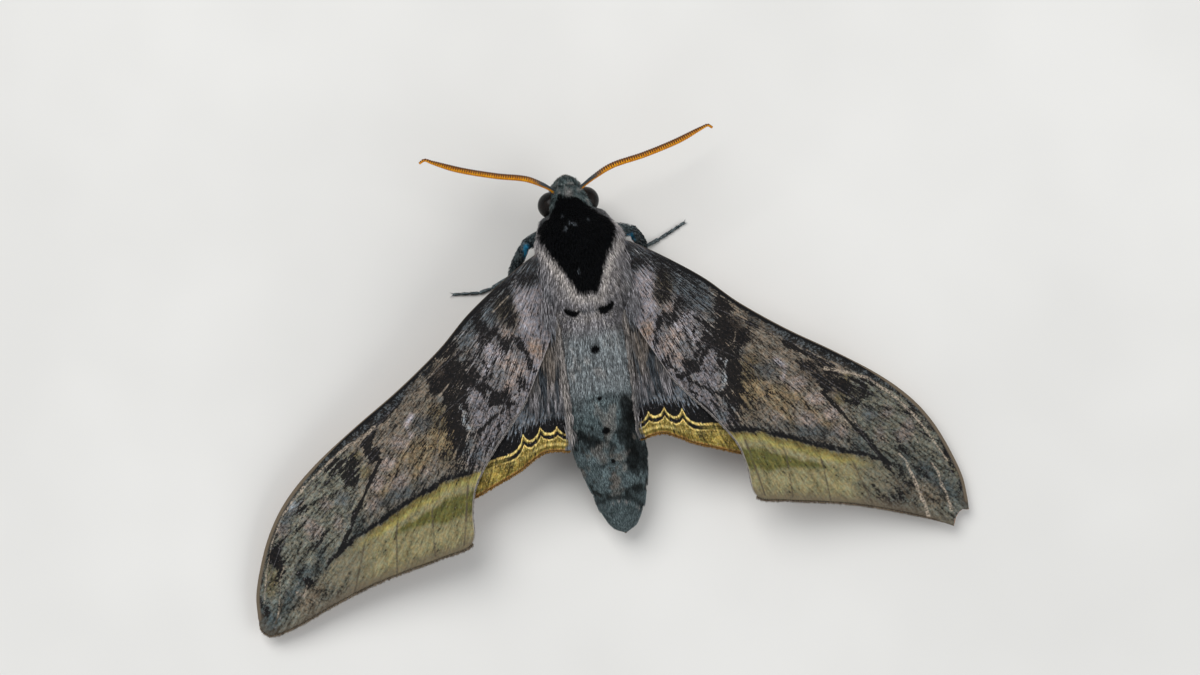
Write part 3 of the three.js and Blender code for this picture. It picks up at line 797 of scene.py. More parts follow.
def make_skin():
    t = np.linspace(0, 1, PROFILE_STATIONS)
    profile = smooth_curve([row[:3] for row in TRUNK], t)
    bottoms = smooth_curve([(row[0], row[3], 0) for row in TRUNK], t)[:, 1]
    run = run_along(profile)
    pick = np.linspace(0.012, 0.988, SKIN_ALONG) * run[-1]
    y, width, top = (np.interp(pick, run, profile[:, k]) for k in range(3))
    bottom = np.interp(pick, run, bottoms)
    depth = np.minimum(coat_depth(y), 0.45 * width)
    angle = np.linspace(-np.pi / 2, 1.5 * np.pi, SKIN_AROUND, endpoint=False)
    ring_fall = np.zeros(len(y))
    for start, end in zip((RINGS_FROM, *RING_EDGES), RING_EDGES):
        ring_fall += np.where((y >= start) & (y < end), (y - start) / (end - start), 0) * RING_FALL
    half_width = (width - depth + ring_fall)[:, None] * np.ones(SKIN_AROUND)
    half_height = ((top - bottom) / 2 - depth + ring_fall)[:, None] * np.ones(SKIN_AROUND)
    x = half_width * np.cos(angle)
    z = half_height * np.sin(angle)
    # the flaps over the wing roots swell out of the shoulders
    from_flap = np.degrees(np.abs(np.abs(angle - np.pi / 2) - np.radians(90 - FLAP_ANGLE)))
    swell = np.exp(-((from_flap / 15) ** 2)) * (rise(y, -4.6, -1) * (1 - rise(y, 3.5, 8.4)))[:, None]
    neck = 0.55 * np.exp(-(((y + 4.75) / 0.5) ** 2))[:, None] * (0.6 - 0.6 * np.sin(angle))
    from_brow = np.degrees(np.abs(np.abs(angle - np.pi / 2) - np.radians(45)))
    left = np.cos(angle) > 0
    brow_place = (y[:, None] + np.where(left, 5.75, 6.0)) / np.where(left, 1.15, 1.0)
    brow = np.where(left, 1.0, 0.42) * np.exp(-((from_brow / 17) ** 2)) * np.exp(-(brow_place**2))
    reach = 1 + (FLAP_RISE * swell + brow - neck) / np.hypot(x, z)
    x, z = x * reach + midline(y)[:, None], z * reach + ((top + bottom) / 2)[:, None]
    rings = np.dstack([x, np.broadcast_to(y[:, None], x.shape), z])
    points, faces = loft(rings)
    points[-2:] = [[0, y[0] - 0.1, z[0].mean()], [midline(y[-1]), y[-1] + 0.1, z[-1].mean()]]
    along = np.gradient(rings, axis=0)
    aside = np.gradient(rings, axis=1) * np.where(left, -1, 1)[None, :, None]
    x, y = rings[..., :1], rings[..., 1:2]
    fan = rise(y, -4, 0) * (1 - rise(y, 7, 12))
    fan = fan * (rise(np.abs(x), 0.8, 3.5) * np.interp(y, [-1, 3, 7], [0.18, 0.3, 0.55]))
    lie = unit(along) + unit(aside) * fan
    face = 1 - rise(y, -8.1, -7.3)
    lie = unit(lie * (1 - 1.7 * face) + np.array([0, 0, 0.3]) * face)
    lie = np.vstack([lie.reshape(-1, 3), [0, -0.3, -1], [0, 1, 0]])
    eyes = np.minimum(*(np.linalg.norm(points - centre, axis=1) for centre in EYE_CENTRES.values()))
    thick = rise(eyes, EYE_RADIUS, EYE_RADIUS + 0.15)
    coat = coat_length(points[:, 0], points[:, 1], facing_up(points))
    fields = {"lie": lie, "coat": coat, "thick": thick, "along": np.full(len(points), 0.6)}
    count = SKIN_ALONG * SKIN_AROUND

    def unwrap(corners):
        """Round the body and along it, with the seam down the belly."""
        u = (corners % SKIN_AROUND) / SKIN_AROUND
        v = (corners // SKIN_AROUND) / SKIN_ALONG
        u[corners >= count] = 0.5
        v[corners >= count] = np.where(corners[corners >= count] == count, 0, 1)
        loops = u[: 4 * (count - SKIN_AROUND)].reshape(-1, 4)
        at_seam = loops.max(1) - loops.min(1) > 0.5
        loops[at_seam] += (loops[at_seam] < 0.5) * 1.0
        return np.column_stack([u, v])

    return closed_piece("body_skin", points, faces, SKIN, fields, body_colour(points), unwrap)


def make_body():
    skin = make_skin()
    regions = [  # name, slot, from, to, density, width, lift, mess
        ("face", "fur_dark", -FAR_OFF, -6.4, 110, 0.042, 0.6, 0.42),
        ("head", "fur_dark", -6.4, -4.2, 100, 0.045, 0.4, 0.28),
        ("shoulders", "fur_dark", -4.2, 1.5, 60, 0.06, 0.28, 0.2),
        ("thorax", "fur_grey", 1.5, 8.6, 58, 0.065, 0.2, 0.16),
        ("waist", "fur_slate", 8.6, 16.5, 52, 0.05, 0.14, 0.12),
        ("abdomen", "fur_slate", 16.5, 25.5, 52, 0.055, 0.14, 0.14),
        ("tail", "fur_slate", 25.5, FAR_OFF, 60, 0.05, 0.12, 0.14),
    ]
    for seed, (name, slot, low, high, density, width, lift, mess) in enumerate(regions):
        grow(f"coat_{name}", skin, slot, paint=body_colour, From=low, To=high, Density=float(density),
             Width=width, Lift=lift, Mess=mess, Seed=3 + seed)
    settle(skin, "fur_slate", "head", "thorax", "abdomen", "tail", "tegula_left", "tegula_right")


# ---- Wings ----

ROOT_X, ROOT_Z, TAILWARD_FALL, CAMBER = 5.0, 11.0, 0.035, 0.55
SIDES = {
    "left": {"side": 1, "droop": 0.2, "spread": 1.0, "tuck": -0.35},
    "right": {"side": -1, "droop": 0.215, "spread": 0.972, "tuck": 0.7},
}
FOREWING = {
    "front": [
        (3.2, -1.4), (6.5, 0.1), (11.1, 3.0), (14.4, 5.4), (17.7, 8.4), (21, 10.9), (24.2, 13.1),
        (29, 16.1), (34, 19.5), (37, 22), (39.2, 24.4), (41, 27.2), (42.5, 30.6), (43.55, 34), (43.75, 36.6),
    ],
    "back": [
        (3.2, 5.5), (5.5, 10.3), (7, 13), (8.7, 16), (10.8, 18.6), (13.4, 21.5), (16, 25.2), (16.8, 28),
        (17.4, 31.7), (21.2, 32.8), (26, 33.8), (30, 34.8), (34.5, 36.3), (38.6, 37.9), (41, 38.6),
        (42.6, 38.75), (43.5, 37.9), (43.75, 36.6),
    ],
    "front_share": [0, 0.08, 0.17, 0.25, 0.33, 0.4, 0.46, 0.55, 0.65, 0.72, 0.78, 0.84, 0.9, 0.96, 1],
    "back_share": [0, 0.08, 0.15, 0.23, 0.3, 0.37, 0.43, 0.47, 0.5, 0.56, 0.64, 0.71, 0.79, 0.87, 0.92,
                   0.955, 0.985, 1],
    "drop": 0, "fold": 0.3, "grid": (250, 124), "outer_from": 8, "thickness": 0.14,
}
HINDWING = {
    "front": [(3.4, 3), (9, 6.2), (14.5, 10.6), (20, 16), (23.6, 20.8), (24.6, 24.6)],
    "back": [
        (3.4, 5), (3.9, 12), (3.9, 18), (3.9, 22), (4.4, 22.8), (5.6, 22.6), (7.2, 22.5), (8.9, 23.2),
        (10.7, 24.2), (12.7, 25), (16, 26.3), (19.5, 27.4), (22.6, 27.2), (24.6, 24.6),
    ],
    "front_share": [0, 0.25, 0.5, 0.75, 0.92, 1],
    "back_share": [0, 0.14, 0.27, 0.36, 0.4, 0.44, 0.5, 0.56, 0.62, 0.69, 0.79, 0.88, 0.95, 1],
    "drop": 1.0, "fold": 1.7, "grid": (170, 100), "outer_from": 4, "thickness": 0.1,
}
# The right forewing keeps a longer point, of which a worn piece is missing; TORN is its remaining edge.
FOREWING_RIGHT = {**FOREWING, "back": FOREWING["back"][:13] + [(38.6, 37.95), (41.3, 39.4), (42.9, 40.1),
        (43.6, 38.7), (43.75, 36.6)]}
TORN = [(-40.2, 40.5), (-40.4, 39.4), (-40.8, 38.5), (-41.3, 37.95), (-41.8, 37.7), (-42.3, 37.85),
        (-45, 37.9), (-45, 41)]
TORN_HEIGHTS = (-2.0, 8.0)  # mm, below and above the wing's tip

# Veins run from the root or the end of the middle cell out to the margin.
FOREWING_VEINS = [
    [(5, 4), (16, 9.5), (24, 14.4), (30, 18.0), (36, 22.4)],
    [(24, 14.4), (30, 18.6), (36, 23.2), (40.2, 27.2)],
    [(24, 14.4), (29, 18.6), (35, 23.4), (40, 29), (43.2, 35)],
    [(25, 17.2), (31, 22.2), (37, 28.6), (41.8, 37.5)],
    [(25.5, 18.2), (29.2, 21.6), (30.5, 24.5), (31.6, 26.8), (33.8, 30.5), (37.2, 36.8)],
    [(25, 19.2), (27.6, 24), (29.6, 29), (32, 35.6)],
    [(23, 18.8), (24.8, 24), (26, 29), (26.6, 33.8)],
    [(19, 16.5), (20.4, 22), (21.6, 27.5), (21.9, 32.6)],
    [(5, 6), (12, 12), (18, 15.8), (23, 18.8), (25.5, 19), (25, 16)],
    [(5, 8), (9, 13.4), (13.5, 18.6), (16.6, 23.5), (18.4, 31.8)],
]
HINDWING_VEINS = [
    [(4.5, 8), (6, 14), (6.1, 22.5)],
    [(5, 8), (8.0, 15), (8.1, 22.8)],
    [(5.5, 8), (9.8, 15), (10.3, 24)],
    [(6, 8), (11.6, 15), (13.2, 25.2)],
    [(6, 7), (13, 14), (16.4, 26.3)],
    [(6, 7), (15, 14), (19.5, 27.2)],
    [(6, 6.5), (17, 15), (22.6, 27)],
]


def outline_at(points, shares, u):
    at = np.interp(u, shares, np.arange(len(points))) / (len(points) - 1)
    return smooth_curve([(x, y, 0) for x, y in points], at)[:, :2]


def wing_sheet(plan, held, u, v):
    """Plan place and middle surface of a wing at shares u from body to tip and v from front to back."""
    front = outline_at(plan["front"], plan["front_share"], u)
    back = outline_at(plan["back"], plan["back_share"], u)
    flat = front * (1 - v[:, None]) + back * v[:, None]
    x = ROOT_X + (flat[:, 0] - ROOT_X) * held["spread"] - held["tuck"] * v * np.sin(np.pi * u)
    y = flat[:, 1]
    fold = plan["fold"] * (1 - rise(x, 3, 12)) * rise(y, 4, 16)
    camber = CAMBER * np.sin(np.pi * v) * np.sin(np.pi * u)
    tucked = 1.3 * (1 - rise(x, 3.4, 5.2))  # the root dips into the body's coat
    z = ROOT_Z - plan["drop"] - held["droop"] * (x - ROOT_X) - TAILWARD_FALL * y + camber - fold - tucked
    return flat, np.column_stack([x, y, z])


def marking_place(flat, held):
    """Where a place on the wing lies on the drawing of the left wing's markings, seen from above."""
    z = ROOT_Z - 0.2 * (flat[:, 0] - ROOT_X) - TAILWARD_FALL * flat[:, 1]
    x, y = 0.9936 * flat[:, 0] - 0.113 * z + 1.06, flat[:, 1]
    if held["side"] < 0:  # these marks sit nearer the body at the root and further out at the tip
        y = y - 0.6 * np.exp(-(((x - 26) / 6) ** 2))
        x = x + np.interp(x, [8, 18, 22, 28, 36, 44], [0.6, 1.1, 0.5, -0.5, -1.3, -1.9])
    return np.column_stack([x, y])


def wing_shell(plan, held, vein_lines):
    """A thin closed wing: top and bottom sheets with ridged veins, pinched together along the outline."""
    along, across = plan["grid"]
    u = np.linspace(0, 1, along + 1)
    v = np.linspace(0, 1, across + 1)
    uu, vv = (g.ravel() for g in np.meshgrid(u, v, indexing="ij"))
    flat, sheet = wing_sheet(plan, held, uu, vv)
    veins = all_of(line_distance(flat, line) for line in vein_lines)
    rumple = 0.05 * noise(flat, 2.6, 21) + 0.03 * noise(flat, 1.1, 22)
    fluting = 0.09 * np.exp(-((veins / 0.16) ** 2)) - 0.05 * np.exp(-((veins / 0.9) ** 2))
    edge = np.minimum(vv, 1 - vv) * 8 + 1e-6
    pinch = np.sqrt(np.clip(np.minimum(edge, (1 - uu) * 30), 0, 1))
    body = plan["thickness"] * (1 + 1.6 * np.exp(-((vv / 0.05) ** 2)) * (1 - uu))
    lift = rumple + fluting * pinch
    if plan is HINDWING:
        lift = lift + 0.55 * np.exp(-(((sheet[:, 0] - 4.25) / 0.4) ** 2)) * rise(sheet[:, 1], 9, 13)
    top = sheet + np.outer(lift + body / 2 * pinch, (0, 0, 1))
    bottom = sheet + np.outer(lift - body / 2 * pinch - 0.02, (0, 0, 1))
    points = np.vstack([top, bottom]) * (held["side"], 1, 1)
    count, row = len(top), across + 1
    faces = []
    for i in range(along):
        for k in range(across):
            a, b, c, d = i * row + k, i * row + k + 1, (i + 1) * row + k + 1, (i + 1) * row + k
            faces.append((a, b, c, d))
            faces.append((d + count, c + count, b + count, a + count))
        for k in (0, across):
            a, d = i * row + k, (i + 1) * row + k
            faces.append((a, d, d + count, a + count) if k == 0 else (d, a, a + count, d + count))
    for k in range(across):
        for i, turn in ((0, 1), (along, -1)):
            a, b = i * row + k, i * row + k + 1
            faces.append((a, a + count, b + count, b)[::turn])
    uv_top = np.column_stack([uu, vv * 0.49])
    uv = np.vstack([uv_top, uv_top + (0, 0.5)])
    return {"plan": plan, "points": points, "faces": faces, "flat": flat, "veins": veins, "uv": uv}


def outer_line(plan, which, first=0, last=None):
    points = plan[which]
    last = len(points) - 1 if last is None else last
    t = np.linspace(first, last, 160) / (len(points) - 1)
    return smooth_curve([(x, y, 0) for x, y in points], t)[:, :2]


# Markings of the forewing, drawn for the left wing in the plan's millimetres.
BORDER = [
    (16.4, 23.6), (17.6, 23.7), (19, 23.8), (20, 24.0), (21, 24.5), (22, 24.9), (23.4, 25.4), (25, 26.1),
    (26.5, 26.9), (28, 27.6), (29.5, 28.3), (31, 28.9), (32.5, 29.8), (33.6, 30.6), (36, 32.4), (39, 35.2),
]
TAUPE = colour(96, 89, 79)
OUTER_GREY = colour(92, 92, 82)
SLATE = colour(71, 76, 79)
LAVENDER = colour(106, 103, 106)
BASAL_GREY = colour(94, 92, 92)
PALE_PINK = colour(130, 119, 113)
PALE_LAVENDER = colour(142, 137, 140)
BLUE_SCALES = colour(136, 141, 144)
WING_BLACK = colour(8, 8, 10)
WING_BROWN = colour(27, 22, 20)
GOLD = colour(117, 103, 78)
OLIVE_PALE = colour(148, 141, 82)
OLIVE_DARK = colour(74, 74, 32)
OLIVE_BROWN = colour(96, 86, 50)
OLIVE_GREY = colour(126, 120, 89)
OLIVE_OUTER = colour(108, 104, 88)
MARGIN_BROWN = colour(96, 85, 71)
ROOT_OLIVE = colour(58, 52, 36)
ROOT_TAN = colour(134, 114, 96)
BAND_OLIVE = colour(70, 62, 44)
APEX_OLIVE = colour(82, 75, 52)
APEX_SLATE = colour(52, 59, 60)
WORN_PALE = colour(182, 166, 148)
UNDER_OCHRE = colour(150, 104, 58)
UNDER_BROWN = colour(96, 72, 54)


def from_border(xy):
    """Distance from the olive border's line, below zero on the side of the front edge."""
    beyond = np.interp(xy[:, 0], *np.array(BORDER).T)
    return np.where(xy[:, 1] > beyond, 1, -1) * line_distance(xy, BORDER)


def paint_forewing(xy, right):
    """The forewing's colours and how many of its scales are dark, from the root out to the tip."""
    x, y = xy.T
    sway = 1.5 * noise(xy, 3.0, 41) + 0.6 * noise(xy, 1.0, 42)
    ground = layered(LAVENDER, [
        (BASAL_GREY, rise(x + sway, 8.5, 11)),
        (TAUPE, rise(x + sway, 15, 18)),
        (OUTER_GREY, rise(x + sway, 28, 32)),
        (APEX_SLATE * 1.5, rise(x + sway, 38, 43) * 0.5),
    ])
    deep = np.interp(x, [5, 9, 10, 15, 19, 28, 31, 40, 44],
                     [0.2, 0.22, 0.34, 0.36, 0.2, 0.14, 0.12, 0.12, 0.14])
    p = Painting(xy, ground, deep)
    # root to the first dark lines
    p.wash(SLATE * 0.7, [([(5.8, 1.4), (9.2, 2.9), (13.4, 5.8)], 3.4)], 0.9, 0.5)
    p.darken([([(5.8, 1.2), (9.0, 2.5), (13.2, 5.2)], 2.7)], 0.74, 0.6)
    p.darken([(7.0, 2.2, 0.9, 0.6, 20), (9.4, 2.7, 0.6, 0.4, 30), (11.2, 3.5, 0.8, 0.4, 35)], 0.98, 0.3)
    p.wash(BLUE_SCALES, [(8.0, 2.2, 0.4, 0.15, 25), (10.3, 3.6, 0.5, 0.12, 35), (7.2, 1.2, 0.4, 0.12, 20)],
           0.8, 0.2)
    p.wash(PALE_LAVENDER, [(7.6, 5.2, 0.9, 2.4, 5), (8.2, 6.3, 0.4, 1.0)], 0.7, 0.5)
    p.wash(ROOT_TAN, [(6.9, 10.5, 0.8, 1.3, 20)], 0.7, 0.4)
    p.wash(BLUE_SCALES, [(12.1, 5.3, 0.4, 0.8, -10), (15.3, 7.2, 0.6, 0.35, 30), (11.0, 12.2, 0.5, 0.4)], 0.5)
    p.wash(SLATE, [(15.0, 8.2, 1.2, 0.9, 30), (15.6, 10.3, 0.7, 0.5), (14.2, 6.2, 0.8, 0.8),
                   (11.7, 5.8, 0.7, 1.2)], 0.8)
    p.darken([(14.8, 7.6, 1.4, 1.2, 30), (11.8, 5.6, 0.8, 1.2)], 0.5, 0.5)
    p.wash(PALE_PINK, [(10.0, 8.1, 0.7, 0.7), (10.4, 11.4, 1.1, 1.0, 20), (9.2, 12.3, 0.9, 1.0)], 0.8)
    p.wash(PALE_LAVENDER, [(12.2, 9.4, 0.9, 0.6, -30), (11.4, 10.3, 0.9, 0.6), (12.9, 11.9, 0.4, 1.0, -20)],
           0.8)
    p.wash(PALE_PINK, [(10.5, 14.4, 0.9, 0.7, 20), (9.9, 13.5, 0.7, 0.6)], 0.7)
    p.wash(ROOT_OLIVE, [(9.5, 5.7, 1.3, 2.0, 15)], 0.8, 0.4)
    p.darken([[(10.8, 4.9), (9.7, 3.8), (8.3, 4.6), (8.4, 6.6), (8.9, 7.8), (9.9, 7.3), (10.5, 6.5)],
              (6.1, 2.6, 0.5, 0.8)], 0.88, 0.4)
    p.darken([([(12.9, 4.2), (13.1, 5.6), (12.8, 7.2), (12.5, 8.4)], 1.15), (9.8, 9.0, 0.5, 0.4)], 1.0, 0.35)
    p.darken([([(13.2, 8.5), (12.1, 7.8), (11.3, 7.5), (10.9, 8.5), (10.5, 9.5), (9.7, 10.0)], 0.6, 0.45)],
             1.1)
    p.darken([([(8.7, 9.1), (8.2, 10.2), (7.8, 11.4), (7.3, 13.0)], 0.75, 0.5),
              ([(14.9, 10.9), (13.1, 9.6)], 0.16)], 1.1)
    p.darken([([(14.5, 11.0), (14.0, 12.5), (13.1, 13.0), (12.4, 12.5)], 0.34),
              ([(13.6, 13.4), (12.7, 14.3)], 0.3)], 1.1, 0.15)
    p.darken([([(13.1, 11.0), (12.7, 12.0), (12.0, 12.6)], 0.24),
              ([(10.9, 15.6), (9.7, 15.2), (8.8, 14.3)], 0.5)], 0.95, 0.15)
    p.darken([(12.3, 12.5, 0.6, 0.5), (8.9, 14.2, 0.5, 0.9, 20), (11.2, 12.9, 0.5, 0.25, 30)], 0.75)
    p.darken([(10.2, 10.4, 0.5, 0.2, 20), (11.9, 11.3, 0.2, 0.5), (9.4, 11.6, 0.4, 0.2, -20)], 0.7, 0.15)
    if right:  # this wing has no dark bar by the first pale line, and darker streaks behind its front edge
        p.wash(SLATE * 0.85, [([(12.9, 3.6), (13.0, 5.6), (12.6, 8.0)], 1.7), (14.4, 7.6, 1.6, 1.8)], 0.85,
               0.4)
        p.darken([([(12.9, 3.6), (13.0, 5.6), (12.6, 8.0)], 1.7), (14.0, 7.4, 1.8, 1.4, 30)], 0.58, 0.4)
        p.darken([([(8.2, 2.2), (11.2, 3.6), (14.0, 5.8)], 0.9, 0.5),
                  ([(10.0, 6.4), (11.6, 9.2)], 0.6, 0.3)], 0.85, 0.3)
    # the dark middle band and its lobes
    p.wash(WING_BROWN, [(18.2, 11.6, 1.3, 1.5), (19.0, 13.0, 0.8, 0.9)], 0.9, 0.4)
    p.wash(BAND_OLIVE, [(19.2, 17.2, 1.7, 2.6, 10), (18.9, 20.6, 1.0, 1.6)], 0.8, 0.6)
    p.darken([(19.1, 17.0, 1.4, 2.2, 10), (18.6, 21.0, 0.9, 1.6), (18.9, 12.7, 0.9, 0.9)], 0.5, 0.5)
    p.darken([[(18.3, 7.9), (16.4, 7.6), (15.9, 9.1), (16.7, 10.0), (18.6, 9.9)]], 1.0, 0.35)
    p.darken([[(19.9, 11.8), (18.2, 11.7), (17.0, 10.2), (15.4, 10.5), (14.9, 12.2), (15.3, 13.6),
               (15.5, 15.4), (16.3, 16.0), (15.8, 18.4), (16.5, 20.6), (16.0, 22.6), (16.8, 23.9),
               (18.3, 23.6), (17.6, 21.4), (18.1, 18.6), (18.4, 16.2), (18.6, 14.4),
               (19.8, 13.4)]], 1.02, 0.35)
    p.darken([([(17.2, 17.2), (17.3, 20.6), (16.9, 23.4)], 1.0, 0.8), ([(17.0, 10.4), (16.6, 15.6)], 1.5)],
             1.08, 0.4)
    p.darken([([(14.9, 10.9), (14.5, 12.8)], 0.7), ([(15.0, 12.6), (14.2, 13.8), (13.5, 15.0)], 0.7, 0.5)],
             1.15)
    p.wash(BLUE_SCALES * 0.9, [([(16.8, 15.2), (16.3, 16.5), (16.4, 17.4), (15.8, 18.5)], 0.35)], 0.9, 0.2)
    p.darken([([(16.7, 15.4), (16.3, 16.5), (16.4, 17.4), (15.9, 18.4)], 0.26)], 0.25, 0.2)
    # lavender triangle and streaks along the inner margin
    p.wash(LAVENDER, [[(15.3, 13.7), (14.2, 14.2), (13.2, 15.6), (12.3, 16.9), (13.4, 17.8), (14.9, 18.6),
                       (15.6, 18.0), (15.1, 16.2)]])
    p.darken([[(15.2, 14.0), (14.2, 14.6), (13.2, 15.8), (12.6, 16.9), (13.4, 17.5), (14.9, 18.2),
               (15.3, 17.4)]], 0.16)
    p.wash(LAVENDER * 0.85, [([(10.4, 16.8), (12.5, 18.6), (14.6, 20.4), (16.0, 22.2)], 1.5)], 0.8, 0.3)
    p.darken([([(10.4, 16.8), (12.5, 18.6), (14.4, 20.2)], 1.2)], 0.16, 0.3)
    p.wash(SLATE, [(16.4, 20.4, 1.1, 0.7, 20), (15.4, 21.6, 1.0, 0.8, 30)], 0.8)
    p.darken([(17.0, 22.3, 1.1, 1.2), (15.6, 21.0, 0.5, 0.3, 30), (16.4, 20.9, 0.5, 0.25)], 0.72)
    p.darken([(12.2, 15.4, 1.2, 0.7, 20), ([(11.9, 16.0), (10.2, 16.3)], 0.5)], 1.05)
    p.darken([([(16.3, 18.9), (15.4, 19.2), (13.6, 18.1), (11.5, 16.8)], 0.5, 0.34)], 1.15, 0.12)
    p.darken([([(15.0, 20.4), (13.6, 19.3), (12.4, 18.6), (10.9, 17.7)], 0.26, 0.16)], 0.95, 0.12)
    p.darken([([(15.2, 22.2), (13.6, 20.6), (12.2, 19.0)], 0.2, 0.12)], 0.85, 0.12)
    # the taupe field with its discal mark, pinkish and golden patches
    p.wash(SLATE * 0.85, [(21.5, 16.9, 1.2, 0.9), (18.7, 14.4, 0.6, 0.4), (25.2, 24.6, 2.0, 0.7, 22)], 0.7,
           0.4)
    p.wash(PALE_LAVENDER * 0.95, [([(22.5, 16.0), (23.3, 16.9), (23.0, 18.0)], 0.5, 0.35)], 0.9, 0.2)
    p.darken([([(22.2, 16.2), (22.6, 17.3), (22.3, 18.2)], 0.3), ([(24.0, 16.2), (24.1, 17.4)], 0.2)], 0.6,
             0.2)
    p.wash(GOLD * 0.85, [(22.2, 20.3, 2.0, 1.6, 20), (19.4, 19.4, 1.4, 1.2),
                         ([(24.2, 20.3), (25.4, 22.0), (27.2, 24.3)], 0.6)], 0.7)
    p.wash(GOLD, [([(22.4, 21.8), (23.3, 23.0), (23.3, 24.0)], 0.5), (20.3, 18.4, 0.7, 0.4, 20),
                  (21.6, 19.6, 0.5, 0.4)], 0.8)
    p.wash(PALE_PINK, [(24.4, 18.8, 0.9, 0.8, 20), (26.2, 20.8, 0.9, 0.7, 10), (27.8, 23.0, 0.8, 0.7)], 0.75)
    p.wash(PALE_PINK * 0.8, [(25.0, 23.2, 1.1, 0.8, 20), (21.6, 22.6, 0.5, 0.4), (28.6, 25.4, 0.8, 0.6, 20)],
           0.7)
    p.darken([(21.3, 19.5, 0.5, 0.6), (20.8, 18.0, 0.5, 0.3), (19.4, 20.6, 0.5, 0.8),
              (23.8, 21.6, 0.3, 0.4)], 0.6)
    p.darken([([(28.1, 20.2), (27.1, 19.8), (26.3, 19.3)], 0.4, 0.2), ([(26.9, 21.6), (26.0, 22.4)], 0.2)],
             0.7, 0.2)
    # black streak under the front edge, then the row of blotches that ends it
    p.darken([([(17.6, 8.4), (19.4, 10.6), (21.0, 11.9)], 0.5, 0.3),
              ([(23.6, 13.9), (25.4, 15.2), (27.4, 16.6)], 0.6, 1.0)], 1.05)
    p.darken([[(28.6, 17.3), (27.2, 16.6), (26.6, 16.2), (27.4, 18.0), (26.8, 20.6), (28.1, 20.5),
               (29.0, 19.4), (28.9, 18.2)]], 1.1, 0.35)
    p.wash(APEX_OLIVE, [(29.8, 19.4, 0.8, 0.6, 20), (29.0, 21.4, 0.7, 0.8)], 0.8)
    p.darken([(30.6, 21.3, 1.2, 1.7, -20), (30.4, 19.9, 0.4, 0.5), (33.1, 20.7, 0.7, 0.7),
              (31.9, 19.8, 0.7, 0.45)], 0.9, 0.45)
    p.darken([(31.0, 21.9, 0.8, 0.9, -20), (31.8, 20.6, 0.4, 0.5)], 1.1, 0.35)
    p.darken([(30.1, 20.9, 0.35, 0.4)], 0.3, 0.15)
    if right:  # its blotches run together
        p.wash(WING_BROWN, [([(25.6, 17.0), (28.0, 19.4), (30.6, 21.4)], 1.6, 2.2)], 0.7, 0.4)
        p.darken([([(25.4, 16.8), (28.0, 19.4), (30.8, 21.4)], 1.2, 2.0)], 0.8, 0.5)
    p.darken([([(26.9, 20.3), (29.5, 24.3), (32.2, 28.6), (33.6, 30.7)], 0.34, 0.46)], 1.45, 0.05)
    p.darken([([(30.5, 25.6), (32.0, 28.0)], 0.5)], 0.85, 0.2)
    # outer field: waves of paler and darker scales
    p.wash(PALE_PINK * 0.8, [(36.0, 27.2, 1.4, 0.9, -40), (39.9, 26.7, 0.8, 0.7), (34.2, 24.6, 0.8, 0.7),
                             (33.0, 27.0, 0.6, 1.2)], 0.7)
    p.wash(SLATE, [(38.2, 24.4, 1.3, 0.7, 40), (39.4, 26.0, 0.6, 0.6), (32.0, 24.4, 0.8, 1.0)], 0.7, 0.4)
    p.wash(BLUE_SCALES * 0.9, [(38.3, 24.3, 0.5, 0.3, 40)], 0.8)
    p.wash(APEX_SLATE, [(37.8, 32.3, 1.5, 1.2, 45), (40.2, 35.0, 2.0, 0.9, 45), (35.7, 30.4, 0.6, 1.5, -10),
                        (43.0, 37.0, 1.2, 1.8)], 0.85, 0.5)
    p.wash(APEX_SLATE, [(30.6, 27.3, 1.0, 1.6, -35), (26.4, 25.2, 1.8, 0.6, 25), (22.6, 23.8, 1.6, 0.5, 20)],
           0.7, 0.5)
    p.wash(APEX_OLIVE, [(41.9, 32.4, 0.9, 2.0, -8)], 0.85, 0.4)
    p.darken([(36.8, 24.6, 0.6, 1.2, -30), (37.9, 26.7, 0.4, 0.7, -20), (35.4, 28.9, 0.3, 0.9, -20),
              (34.6, 26.2, 0.3, 0.7, -20)], 0.62)
    p.darken([(37.6, 33.0, 0.5, 0.5), (41.5, 32.9, 0.3, 1.2, -8), (42.9, 35.6, 0.4, 1.4, -15),
              (39.6, 29.6, 0.3, 1.0, -20)], 0.7)
    p.wash(WING_BLACK * 3, [(41.1, 29.6, 0.9, 1.4, -12)], 0.9, 0.35)
    p.darken([(41.1, 29.5, 0.75, 1.3, -12)], 1.3, 0.3)
    p.darken([([(40.9, 31.2), (41.1, 33.4), (41.7, 35.6)], 0.7, 0.3)], 0.8, 0.3)
    p.wash(MARGIN_BROWN, [(37.2, 34.9, 2.4, 1.0, 35), (33.6, 33.2, 2.0, 1.6, 30)], 0.7, 0.6)
    # shade of the border line towards the field
    border = from_border(xy)
    shade = rise(border, -1.3, -0.1) * (1 - rise(x, 33, 38)) * rise(x, 15.5, 17)
    p.tint = blend(p.tint, APEX_SLATE, shade * 0.6)
    p.deep = np.maximum(p.deep, shade**2 * 0.75)
